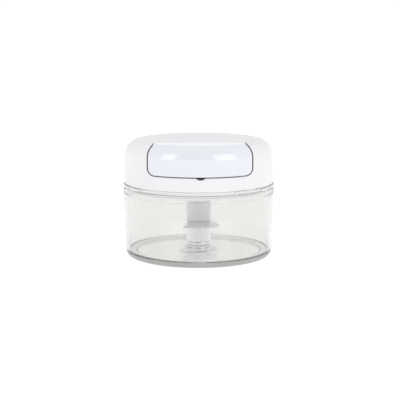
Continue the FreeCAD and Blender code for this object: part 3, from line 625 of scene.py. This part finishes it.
def lip_places(surface, corners, edge_round, inward):
    """Places on the surface where the rounded edge starts, one for each corner point."""
    corners = [Vector(corner) for corner in corners]
    if not edge_round:
        return [surface.nearest(here) for here in corners]
    places = []
    near = 0.6 * edge_round
    sharpest = 0.6
    for index, here in enumerate(corners):
        earlier = (corners[index - step] for step in range(1, 9))
        later = (corners[(index + step) % len(corners)] for step in range(1, 9))
        before = next(spot for spot in earlier if (spot - here).length > near)
        after = next(spot for spot in later if (spot - here).length > near)
        up = surface.normal(surface.nearest(here))
        first = (here - before).normalized().cross(up)
        second = (after - here).normalized().cross(up)
        way = (first + second).normalized()
        reach = edge_round / max(sharpest, way.dot(first.normalized()))
        places.append(surface.nearest(here + way * (-reach if inward else reach)))
    return places


def skin(shell, surface, outer, holes, low):
    """Surface between an outer loop and holes, with an even grid of points."""
    rim_clear = 1.0 * MM
    rim = np.array([shell.verts[number] for loop in [outer] + holes for _, number in loop])
    places = surface.grid(low)
    points = np.array([surface.point(place) for place in places])
    flats = np.array([surface.flat(place) for place in places])
    nearest = np.array([np.min(np.sum((rim - point) ** 2, axis=1)) for point in points])
    kept = (nearest > rim_clear ** 2) & inside_loop(flats, [entry[0] for entry in outer])
    for hole in holes:
        kept &= ~inside_loop(flats, [entry[0] for entry in hole])
    spots = []
    for index in np.flatnonzero(kept):
        number = shell.spot(points[index], surface.normal(places[index]))
        spots.append((tuple(flats[index]), number))
    shell.fill(outer, holes, spots)


def circle_row(shell, radius, z):
    """Point numbers of a level circle, starting at the front."""
    return [shell.spot((radius * math.sin(angle), -radius * math.cos(angle), z))
            for angle in turn_angles(ROW_COUNT)]


def edge_loop(shell, surface, along, smooth):
    """Loop round the surface at a distance along its section; every entry is (flat spot, number)."""
    loop = []
    for angle in turn_angles(ROW_COUNT):
        place = (angle, along)
        normal = surface.normal(place) if smooth else (0, 0, 0)
        loop.append((surface.flat(place), shell.spot(surface.point(place), normal)))
    return loop


def eyelet_loop(shell, y, count=28):
    """Edge of the cord's hole in the plane at y; every entry is (flat spot, number)."""
    loop = []
    for angle in turn_angles(count):
        x = EYELET_R * math.cos(angle)
        z = CORD_Z + EYELET_R * math.sin(angle)
        loop.append(((x, z), shell.spot((x, y, z))))
    return loop


def point_numbers(loop):
    return [number for _, number in loop]


# ---- lid and handle ----
def make_lid_housing():
    shell = Shell()
    outer = LidSurface()
    inner = LidSurface(WALL)
    rim_round = 0.5 * MM
    start = outer.at_height(LID_EDGE_Z + rim_round)
    edge = edge_loop(shell, outer, start, True)
    lip, back = opening(shell, outer, 0.0, WINDOW_BACK, EDGE_ROUND, False, True)
    skin(shell, outer, edge, [lip], start)
    inner_edge = edge_loop(shell, inner, 0.0, False)
    inner_back_y = WINDOW_BACK - POCKET_WALL
    inner_lip, inner_back = opening(shell, inner, -POCKET_WALL, inner_back_y, 0.0, False, True)
    skin(shell, inner, inner_edge, [inner_lip], 0.0)
    bend = arc_points((outer.radius(start) - rim_round, LID_EDGE_Z + rim_round), rim_round, 0, -90, 6)
    rows = [circle_row(shell, radius, z) for radius, z in bend[1:]]
    rows = [point_numbers(edge)] + rows + [point_numbers(inner_edge)]
    for first, second in zip(rows, rows[1:]):
        shell.strip(first, second)
    hole = eyelet_loop(shell, -WINDOW_BACK)
    inner_hole = eyelet_loop(shell, -inner_back_y)
    shell.fill(back, [hole])
    shell.fill(inner_back, [inner_hole])
    shell.strip(point_numbers(hole), point_numbers(inner_hole))
    shell.build("lid_shell", "lid", "lid_housing", "lid_white")


def make_handle_cover():
    shell = Shell()
    outer = LidSurface(HANDLE_SINK)
    inner = LidSurface(HANDLE_WALL)
    lip, back = opening(shell, outer, HANDLE_GAP, HANDLE_BACK, HANDLE_ROUND, True, False)
    skin(shell, outer, lip, [], 0.0)
    inner_lip, inner_back = opening(shell, inner, HANDLE_GAP + HANDLE_WALL, HANDLE_BACK, 0.0, True, False)
    skin(shell, inner, inner_lip, [], 0.0)
    shell.fill(back, [inner_back])
    shell.build("pull_handle", "handle", "handle_cover", "handle_gloss")


# ---- bowl ----
FOOT_R = 58.0 * MM          # centre of the bottom round
FOOT_ROUND = 5.5 * MM
FOOT_Z = 5.0 * MM
FOOT_T = 1.4 * MM
FOOT_IN_R = 55.5 * MM
FOOT_HALF_T = 0.7 * MM      # where the ring's two layers meet
FOOT_GAP = 0.05 * MM
GROOVE_R = 56.5 * MM        # fine groove in the standing face
GROOVE_HALF = 0.25 * MM
BOWL_BASE_R = 63.5 * MM
BOWL_TOP_R = 64.9 * MM
BAND_R = 65.4 * MM
BAND_Z = 55.2 * MM
SEAL_BORE_R = 63.0 * MM
SEAL_BORE_LOW = 57.1 * MM
SEAL_BORE_HIGH = 60.5 * MM
FLOOR_TOP = 5.2 * MM
FLOOR_UNDER = 2.7 * MM
PIN_R = 2.5 * MM
PIN_GAP = 0.04 * MM
PIN_LOW = 2.4 * MM
SEAT_R = 6.0 * MM           # raised seat round the pin
SEAT_TOP = FLOOR_TOP + 0.8 * MM
BUTTON_R = 8.0 * MM         # thicker floor under the pin
BUTTON_LOW = 1.6 * MM

# twist lock inside the rim, in millimetres
RECESS_R = 63.9
LEDGE_R = 62.1
RIM_TOP = 64.0
STOP_TOP = 63.3
LEDGE_LOW = 62.8
PLAIN_STEP = 61.6           # spare point where the wall is plain
STOP_LOW = 61.0
RECESS_LOW = 60.8


def mm_points(spots):
    """Profile corners given in millimetres, with an optional radius each."""
    return [tuple(value * MM for value in spot) + (0.0,) * (3 - len(spot)) for spot in spots]


def foot_arc(offset, start_deg, end_deg, count):
    """Arc of the bottom round, moved inward by offset, as corners without a radius."""
    spots = arc_points((FOOT_R, FOOT_ROUND), FOOT_ROUND - offset, start_deg, end_deg, count)
    return [(r, min(z, FOOT_Z - FOOT_GAP), 0.0) for r, z in spots]


def foot_end(offset):
    """Angle in degrees at which that arc reaches the height FOOT_Z."""
    return -math.degrees(math.asin((FOOT_ROUND - FOOT_Z) / (FOOT_ROUND - offset)))


def bowl_profile(rim_radii, rim_heights):
    """Section of the bowl; radii and heights are those of the wall's six points inside the rim."""
    under = [(0.0, BUTTON_LOW, 0.0), (BUTTON_R, BUTTON_LOW, 0.4 * MM), (BUTTON_R, FLOOR_UNDER, 0.3 * MM),
             (FOOT_IN_R - 2 * MM, FLOOR_UNDER, 0.5 * MM), (FOOT_IN_R - MM, FOOT_T, 0.3 * MM)]
    bend = arc_points((FOOT_R, FOOT_ROUND), FOOT_ROUND - FOOT_T, -90, foot_end(FOOT_T), 14)
    wall = [(BOWL_BASE_R, FOOT_Z, 0.15 * MM), (BOWL_TOP_R, BAND_Z - 0.6 * MM, 0.4 * MM),
            (BAND_R, BAND_Z, 0.35 * MM), (BAND_R, RIM_Z, 0.5 * MM)]
    inner = [(SEAL_BORE_R, SEAL_BORE_HIGH, 0.15 * MM), (SEAL_BORE_R, SEAL_BORE_LOW, 0.6 * MM),
             (BOWL_TOP_R - WALL, 55.5 * MM, 0.6 * MM), (BOWL_BASE_R - WALL, FLOOR_TOP, 1.6 * MM),
             (SEAT_R, FLOOR_TOP, 0.5 * MM), (SEAT_R, SEAT_TOP, 0.3 * MM),
             (PIN_R + PIN_GAP, SEAT_TOP, 0.15 * MM), (PIN_R + PIN_GAP, PIN_LOW, 0.0),
             (0.0, PIN_LOW, 0.0)]
    return rounded(under + [(r, z, 0.0) for r, z in bend] + wall
                   + mm_points(zip(rim_radii, rim_heights)) + inner, 5)


def make_bowl():
    wide, tight = RECESS_R, LEDGE_R
    plain = bowl_profile([wide] * 6, (RIM_TOP, STOP_TOP, LEDGE_LOW, PLAIN_STEP, STOP_LOW, RECESS_LOW))
    ledge = bowl_profile([tight] * 3 + [wide] * 3,
                         (RIM_TOP, STOP_TOP, LEDGE_LOW, LEDGE_LOW, STOP_LOW, RECESS_LOW))
    stop = bowl_profile([tight] * 4 + [wide] * 2,
                        (RIM_TOP, STOP_TOP, LEDGE_LOW, STOP_LOW, STOP_LOW, RECESS_LOW))
    low_stop = bowl_profile([wide] * 2 + [tight] * 2 + [wide] * 2,
                            (RIM_TOP, STOP_TOP, STOP_TOP, STOP_LOW, STOP_LOW, RECESS_LOW))
    sections = []
    for angle in LUG_ANGLES:
        slot_start = angle - SLOT_HALF
        ledge_start = slot_start - LOCK_TURN
        slot_end = angle + SLOT_HALF
        stop_end = slot_end + STOP_WIDTH
        sections += [(ledge_start - STOP_WIDTH, ledge_start, lambda a: low_stop),
                     (ledge_start, slot_start, lambda a: ledge),
                     (slot_start, slot_end, lambda a: plain),
                     (slot_end, stop_end, lambda a: stop),
                     (stop_end, ledge_start - STOP_WIDTH + THIRD, lambda a: plain)]
    new_object("clear_bowl", *lathe(sections), "bowl", "bowl", "clear_bowl", 30)


def make_foot_ring():
    """Ring under the bowl: a grey outer layer on a white one."""
    half_end = foot_end(FOOT_HALF_T)
    near = GROOVE_R - GROOVE_HALF
    far = GROOVE_R + GROOVE_HALF
    corners = [(FOOT_IN_R, FOOT_HALF_T, 0.1 * MM), (FOOT_IN_R, 0.0, 0.3 * MM), (near, 0.0, 0.0),
               (near, GROOVE_HALF, 0.1 * MM), (far, GROOVE_HALF, 0.1 * MM), (far, 0.0, 0.0)]
    corners += foot_arc(0.0, -90, foot_end(0.0) - 3, 18)
    corners.append((BOWL_BASE_R - 0.02 * MM, FOOT_Z - FOOT_GAP, 0.15 * MM))
    corners += foot_arc(FOOT_HALF_T, half_end, -90, 14)
    turned("foot_ring", corners, "bowl", "non_slip_ring", "foot_grey")
    lining = [(FOOT_IN_R, FOOT_T - FOOT_GAP, 0.0), (FOOT_IN_R, FOOT_HALF_T, 0.0)]
    lining += foot_arc(FOOT_HALF_T, -90, half_end, 14)
    lining += foot_arc(FOOT_T - FOOT_GAP, foot_end(FOOT_T), -90, 14)
    turned("foot_lining", lining, "bowl", "non_slip_ring", "foot_grey", "foot_lining")


def make_seal():
    corners = mm_points([(59.9, 58.45), (61.4, 58.45, 0.3), (62.6, 58.22, 0.15), (62.7, 58.6, 0.15),
                         (61.5, 59.1, 0.3), (61.5, 59.5, 0.3), (62.6, 59.5, 0.15), (62.7, 59.9, 0.15),
                         (61.4, 60.42, 0.3), (59.9, 60.42)])
    turned("lid_seal", corners, "seal", "seal_ring", "seal_silicone")


# ---- lid base ----
def base_profile(lug_steps):
    """Section of the lid base; lug_steps are the four points at the lugs' height."""
    corners = mm_points([(57.8, 57.5, 0.3), (61.5, 57.5, 0.35), (61.5, 58.1, 0.1), (59.8, 58.3, 0.1),
                         (59.8, 60.6, 0.1), (61.5, 60.8, 0.05)])
    corners += mm_points(lug_steps)
    corners += mm_points([(61.5, 64.4), (62.4, 64.4, 0.1), (62.4, 66.0, 0.3), (59.6, 66.0, 0.3),
                          (59.6, 63.4, 0.4), (8.8, 63.4, 0.1), (8.8, 50.0, 0.3), (7.2, 50.0, 0.3),
                          (7.2, 63.4, 0.1), (6.6, 63.4, 0.1), (6.6, 73.5, 0.4), (3.3, 73.5, 0.1),
                          (3.3, 53.0), (5.52, 53.0), (5.52, 45.7, 0.2), (10.8, 45.7, 1.0),
                          (10.8, 61.0, 0.8), (57.8, 61.0, 0.8)])
    return rounded(corners, 4)


def make_lid_base():
    plain = base_profile([(61.5, 61.0), (61.5, 61.4), (61.5, 62.0), (61.5, 62.5)])
    lug = base_profile([(61.5, 61.0), (63.5, 61.0), (63.5, 62.5), (61.5, 62.5)])
    sections = []
    for angle in LUG_ANGLES:
        sections += [(angle - LUG_HALF, angle + LUG_HALF, lambda a: lug),
                     (angle + LUG_HALF, angle - LUG_HALF + THIRD, lambda a: plain)]
    verts, faces = lathe(sections)
    for side in (-1, 1):
        for x, y in ((28.2, -10.3), (17.2, 24.6)):
            add_post(verts, faces, side * x * MM, y * MM)
    for angle in turn_angles(6):
        add_rib(verts, faces, angle + math.radians(30))
    new_object("lid_underside", verts, faces, "lid", "lid_base", "base_white", 30)


def add_post(verts, faces, x, y, count=32):
    """Closed upright screw post with softened ends."""
    radius = 3.4 * MM
    low = 61.6 * MM
    top = 91.9 * MM
    soft = 0.2 * MM
    starts = []
    for r, z in ((radius - soft, low), (radius, low + soft),
                 (radius, top - soft), (radius - soft, top)):
        starts.append(len(verts))
        verts += [(x + r * math.cos(angle), y + r * math.sin(angle), z) for angle in turn_angles(count)]
    join_rows(faces, starts, count)


def add_rib(verts, faces, angle):
    """Closed radial rib under the lid base, from its collar to its skirt."""
    half = 0.8 * MM
    near = 10.3 * MM
    far = 58.3 * MM
    low = 58.4 * MM
    top = 61.3 * MM
    soft = 0.25 * MM
    section = [(-half, top), (-half, low + soft), (-half + soft, low), (half - soft, low),
               (half, low + soft), (half, top)]
    start = len(verts)
    for reach in (near, far):
        for side, z in section:
            verts.append((reach * math.cos(angle) - side * math.sin(angle),
                          reach * math.sin(angle) + side * math.cos(angle), z))
    join_rows(faces, [start, start + len(section)], len(section))


# ---- hub and blades, in millimetres ----
HUB_R = 10.6
HUB_LOW = 6.2
HUB_FIT = 0.02              # gap between a sleeve and a blade
CORE_R = 6.4
CORE_FLAT = 5.2
TOP_BLADE_Z = 29.6          # undersides of the blades
MIDDLE_BLADE_Z = 11.4
LOW_BLADE_Z = 8.6
BLADE_T = 0.8
BLADE_GRIND = 2.4
BLADE_LIP = 0.14            # thickness left at the ground edge
# An arc is (middle x, middle y, end x, end y) and starts where the one before it ends.
BLADE_ROOT = (10.4, -4.0)
BLADE_EDGE = (17.3, -19.0, 8.4, -35.6)
BLADE_END = (-2.6, -37.8, -14.0, -36.2)
BLADE_BACK = (-11.6, -20.0, -9.2, -5.0)


def core_radius(angle, clearance=0.0):
    """Radius in millimetres of the keyed core: round with two flats."""
    return min(CORE_R, CORE_FLAT / max(0.01, abs(math.cos(angle)))) + clearance


def make_hub_core():
    def profile(angle, cup):
        stem = core_radius(angle)
        corners = mm_points([(0.0, 25.0), (2.8, 25.0), (2.8, 22.2), (4.02, 22.2), (4.02, 7.0, 0.1),
                             (stem, 7.0, 0.2), (stem, 30.42), (HUB_R - 0.3, 30.42, 0.1),
                             (HUB_R, 30.6, 0.3), (HUB_R, 45.3, 0.5), (8.0, 45.3, 0.3)])
        return rounded(corners + mm_points(cup + [(0.0, 37.5)]), 4)

    open_cup = [(8.0, 44.0), (8.0, 40.0), (8.0, 37.5)]
    dog = [(8.0, 44.0), (4.9, 44.0), (4.9, 37.5)]
    half = 20
    sections = []
    for turn in (0, 180):
        sections += [(turn - half, turn + half, lambda a: profile(a, dog)),
                     (turn + half, turn + 180 - half, lambda a: profile(a, open_cup))]
    # The upper hub takes the darker copy of the hub's white, as painted shade from the lid above it.
    new_object("hub_head", *lathe(sections, 2.0), "blades", "hub_core", "hub_white", 30, "hub_grey")


def make_sleeve(name, node, low, top_blade_z, low_round, top_round):
    """Sleeve of the hub from a height up to a blade."""
    top = top_blade_z - HUB_FIT

    def profile(angle):
        bore = core_radius(angle, HUB_FIT)
        return rounded(mm_points([(bore, low, 0.1), (HUB_R, low, low_round),
                                  (HUB_R, top, top_round), (bore, top, 0.1)]), 5)

    new_object(name, *lathe([(0, 360, profile)], 2.0), "blades", node, "hub_white", 30)


def circle_of(first, middle, last):
    """Centre, radius and the two end angles of the arc through three flat points."""
    ax, ay = first
    bx, by = middle
    cx, cy = last
    a2, b2, c2 = (x ** 2 + y ** 2 for x, y in (first, middle, last))
    twice = 2 * (ax * (by - cy) + bx * (cy - ay) + cx * (ay - by))
    ux = (a2 * (by - cy) + b2 * (cy - ay) + c2 * (ay - by)) / twice
    uy = (a2 * (cx - bx) + b2 * (ax - cx) + c2 * (bx - ax)) / twice
    start = math.atan2(ay - uy, ax - ux)
    sweep = math.atan2(cy - uy, cx - ux) - start
    sweep %= math.copysign(2 * math.pi, twice)
    return (ux, uy), math.hypot(ax - ux, ay - uy), start, start + sweep


def arc_through(first, step, count):
    """Points of the arc from first through a step's middle to its end."""
    centre, radius, start, end = circle_of(first, step[:2], step[2:])
    return arc_points(centre, radius, math.degrees(start), math.degrees(end), count)


def distance(spot, centre):
    return math.hypot(spot[0] - centre[0], spot[1] - centre[1])


def blade_outline(grind_centre, grind_r):
    """Plan outline of a blade with its washer, starting at the root of the ground edge.

    The end arc has a point exactly where the ground face's inner line meets it."""
    edge = arc_through(BLADE_ROOT, BLADE_EDGE, 49)
    centre, radius, start, end = circle_of(BLADE_EDGE[2:], BLADE_END[:2], BLADE_END[2:])

    def end_spot(share):
        angle = start + (end - start) * share
        return (centre[0] + radius * math.cos(angle), centre[1] + radius * math.sin(angle))

    low, high = 0.0, 1.0
    for _ in range(40):
        middle = (low + high) / 2
        if distance(end_spot(middle), grind_centre) > grind_r:
            low = middle
        else:
            high = middle
    tip = [end_spot(high * share) for share in np.linspace(0, 1, 7)[1:]]
    rest = [end_spot(high + (1 - high) * share) for share in np.linspace(0, 1, 17)[1:]]
    back = arc_through(BLADE_END[2:], BLADE_BACK, 33)[1:]
    washer_r = HUB_R - 0.4
    left = math.degrees(math.atan2(BLADE_BACK[3], BLADE_BACK[2])) + 360
    right = math.degrees(math.atan2(BLADE_ROOT[1], BLADE_ROOT[0]))
    washer = arc_points((0, 0), washer_r, left, right, 61)
    return edge + tip + rest + back + washer, tip[-1]


def make_blade(name, low, turn_deg):
    """Blade with a ground edge; its outline is turned about the shaft."""
    shell = Shell()
    top = low + BLADE_T
    grind_centre, edge_r, start, _ = circle_of(BLADE_ROOT, BLADE_EDGE[:2], BLADE_EDGE[2:])
    grind_r = edge_r - BLADE_GRIND
    turn = math.radians(turn_deg)

    def place(spot, z):
        x = spot[0] * math.cos(turn) - spot[1] * math.sin(turn)
        y = spot[0] * math.sin(turn) + spot[1] * math.cos(turn)
        return shell.spot((x * MM, y * MM, z * MM))

    def top_of(spot):
        beyond = distance(spot, grind_centre) - grind_r
        on_blade = spot[1] < BLADE_ROOT[1] + 0.01
        if beyond <= 0 or not on_blade:
            return top
        return top - (BLADE_T - BLADE_LIP) * min(1.0, beyond / BLADE_GRIND)

    outline, meeting = blade_outline(grind_centre, grind_r)
    key = []
    for angle in turn_angles(72):
        angle += 0.02
        reach = core_radius(angle, 2 * HUB_FIT)
        key.append((reach * math.cos(angle), reach * math.sin(angle)))
    meeting_angle = math.atan2(meeting[1] - grind_centre[1], meeting[0] - grind_centre[0])
    crease = arc_points(grind_centre, grind_r, math.degrees(start), math.degrees(meeting_angle), 49)
    crease[-1] = meeting
    for level in (top_of, lambda spot: low):
        outer = [(spot, place(spot, level(spot))) for spot in outline]
        hole = [(spot, place(spot, level(spot))) for spot in key]
        creases = [[(spot, place(spot, top)) for spot in crease]] if level is top_of else []
        shell.fill(outer, [hole], (), creases)
    upper = [place(spot, top_of(spot)) for spot in outline]
    lower = [place(spot, low) for spot in outline]
    shell.strip(upper, lower)
    shell.strip([place(spot, top) for spot in key], [place(spot, low) for spot in key])
    shell.build(name + "_steel", "blades", name, "blade_steel", 9)


# ---- cord ----
def tube(points, radius, sides=14):
    """Closed round tube along points, with flat ends."""
    verts = []
    faces = []
    points = [Vector(point) for point in points]
    up = Vector((0, 0, 1))
    for index, point in enumerate(points):
        before = points[max(0, index - 1)]
        after = points[min(len(points) - 1, index + 1)]
        way = (after - before).normalized()
        side = way.cross(up).normalized()
        lift = side.cross(way)
        for angle in turn_angles(sides):
            verts.append(point + side * radius * math.cos(angle) + lift * radius * math.sin(angle))
    join_rows(faces, range(0, len(verts), sides), sides)
    return verts, faces


def make_cord():
    low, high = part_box("cord_winding")
    turns = 3.6
    turn_r = 0.98 * CORD_R      # leaves the turns clear of each other
    radius = high.x - CORD_R
    rise = high.z - low.z - 2 * CORD_R
    points = []
    for share in np.linspace(0, 1, 180):
        angle = 2 * math.pi * turns * share
        z = low.z + CORD_R + rise * share
        points.append((radius * math.cos(angle), radius * math.sin(angle), z))
    new_object("cord_turns", *tube(points, turn_r), "reel", "cord_winding", "cord_nylon", 60)

    low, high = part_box("cord_stretch")
    points = [(0, y, CORD_Z) for y in np.linspace(high.y, low.y, 61)]
    piece = new_object("cord_run", *tube(points, CORD_R), None, "cord_stretch", "cord_nylon", 60)
    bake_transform(piece)

    low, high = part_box("cord_knot")
    knot_r = high.x
    centre_y = high.y - knot_r
    points = []
    for angle in np.linspace(0, 2 * math.pi, 90):
        wide = (math.sin(angle) + 2 * math.sin(2 * angle)) / 3
        tall = (math.cos(angle) - 2 * math.cos(2 * angle)) / 3
        deep = -math.sin(3 * angle) / 2.2
        reach = knot_r - CORD_R
        points.append((wide * reach, centre_y + deep * reach, CORD_Z + tall * reach))
    verts, faces = tube(points, CORD_R)
    tail, tail_faces = tube([(0, y, CORD_Z) for y in np.linspace(centre_y, low.y, 12)], CORD_R)
    faces += [tuple(corner + len(verts) for corner in face) for face in tail_faces]
    new_object("cord_end_knot", verts + tail, faces, "handle", "cord_knot", "cord_nylon", 60)


# ---- camera, lights and floor ----
def aim(thing, azimuth_deg, elevation_deg, distance_m, target_z):
    """Places a camera or light round the axis, the front being azimuth 0, and turns it inward."""
    azimuth = math.radians(azimuth_deg)
    elevation = math.radians(elevation_deg)
    way = Vector((math.sin(azimuth) * math.cos(elevation), -math.cos(azimuth) * math.cos(elevation),
                  math.sin(elevation)))
    thing.location = Vector((0, 0, target_z)) + way * distance_m
    thing.rotation_euler = (-way).to_track_quat("-Z", "Y").to_euler()
    bpy.context.scene.collection.objects.link(thing)


def make_camera():
    data = bpy.data.cameras.new("camera")
    data.lens = 102.96
    data.sensor_width = 36
    data.shift_x = 0.0034
    data.clip_start = 0.05
    camera = bpy.data.objects.new("camera", data)
    aim(camera, azimuth_deg=-1.5, elevation_deg=9.3, distance_m=1.0, target_z=0.0476)
    bpy.context.scene.camera = camera


def softbox(name, azimuth_deg, elevation_deg, width, height, radiance):
    """Rectangular light that looks at the object."""
    data = bpy.data.lights.new(name, "AREA")
    data.shape = "RECTANGLE"
    data.size = width
    data.size_y = height
    data.energy = radiance * math.pi * width * height
    light = bpy.data.objects.new(name, data)
    aim(light, azimuth_deg, elevation_deg, distance_m=1.5, target_z=0.08)


def make_world():
    """Soft surround: white at the horizon and behind the object, dimmer above its front."""
    world = bpy.data.worlds.new("studio")
    world.use_nodes = True
    tree = world.node_tree
    coords = tree.nodes.new("ShaderNodeTexCoord")
    parts = tree.nodes.new("ShaderNodeSeparateXYZ")
    tree.links.new(coords.outputs["Generated"], parts.inputs["Vector"])
    ramp = tree.nodes.new("ShaderNodeValToRGB")
    elements = ramp.color_ramp.elements
    elements[0].color = (1.0, 1.0, 1.0, 1)
    elements[1].color = (0.99, 0.99, 0.995, 1)
    for position, level in ((0.08, 1.0), (0.35, 0.9)):
        elements.new(position).color = (level, level, level * 1.005, 1)
    tree.links.new(parts.outputs["Z"], ramp.inputs["Fac"])
    background = tree.nodes["Background"]
    backdrop = ramp_node(tree, parts.outputs["Z"], 1.0, 0.0, 0.08, 0.2)
    behind = math_node(tree, "ADD", parts.outputs["Y"], backdrop)
    strength = ramp_node(tree, behind, 0.32, 1.02, -1.0, 0.0)
    tree.links.new(strength, background.inputs["Strength"])
    tree.links.new(ramp.outputs["Color"], background.inputs["Color"])
    bpy.context.scene.world = world


def make_floor():
    """Paper that glows by itself for the most part, so that it stays white round the object."""
    tree, principled = shader("floor_paper")
    grain = noise_node(tree, object_coords(tree), 300.0, 3.0)
    tree.links.new(ramp_node(tree, grain, (0.11, 0.11, 0.11), (0.13, 0.13, 0.13)),
                   principled.inputs["Base Color"])
    set_inputs(principled, {"Roughness": 0.9, "Emission Color": (1, 1, 1, 1), "Emission Strength": 0.93})
    size = 60.0
    below = -0.0002
    mesh = bpy.data.meshes.new("floor")
    mesh.from_pydata([(-size, -size, below), (size, -size, below), (size, size, below),
                      (-size, size, below)], [], [(0, 1, 2, 3)])
    mesh.materials.append(MATERIALS["floor_paper"])
    floor = bpy.data.objects.new("floor", mesh)
    bpy.context.scene.collection.objects.link(floor)


def make_studio():
    bpy.context.scene.view_settings.view_transform = "Standard"
    make_world()
    make_floor()
    softbox("left_softbox", -50, 22, 0.58, 1.1, 2.0)
    softbox("right_softbox", 41, 22, 0.89, 1.1, 1.9)


# ---- all pieces ----
make_materials()
make_camera()
make_studio()
dress_frame()
make_bowl()
make_foot_ring()
make_seal()
make_lid_base()
make_lid_housing()
make_handle_cover()
make_hub_core()
make_sleeve("hub_middle", "hub_sleeve", MIDDLE_BLADE_Z + BLADE_T + HUB_FIT, TOP_BLADE_Z, 0.4, 0.4)
make_sleeve("hub_collar", "hub_spacer", LOW_BLADE_Z + BLADE_T + HUB_FIT, MIDDLE_BLADE_Z, 0.4, 0.4)
make_sleeve("hub_foot", "hub_cap", HUB_LOW, LOW_BLADE_Z, 0.6, 0.3)
make_blade("blade_top", TOP_BLADE_Z, 0)
make_blade("blade_middle", MIDDLE_BLADE_Z, 180)
make_blade("blade_bottom", LOW_BLADE_Z, -5)
make_cord()
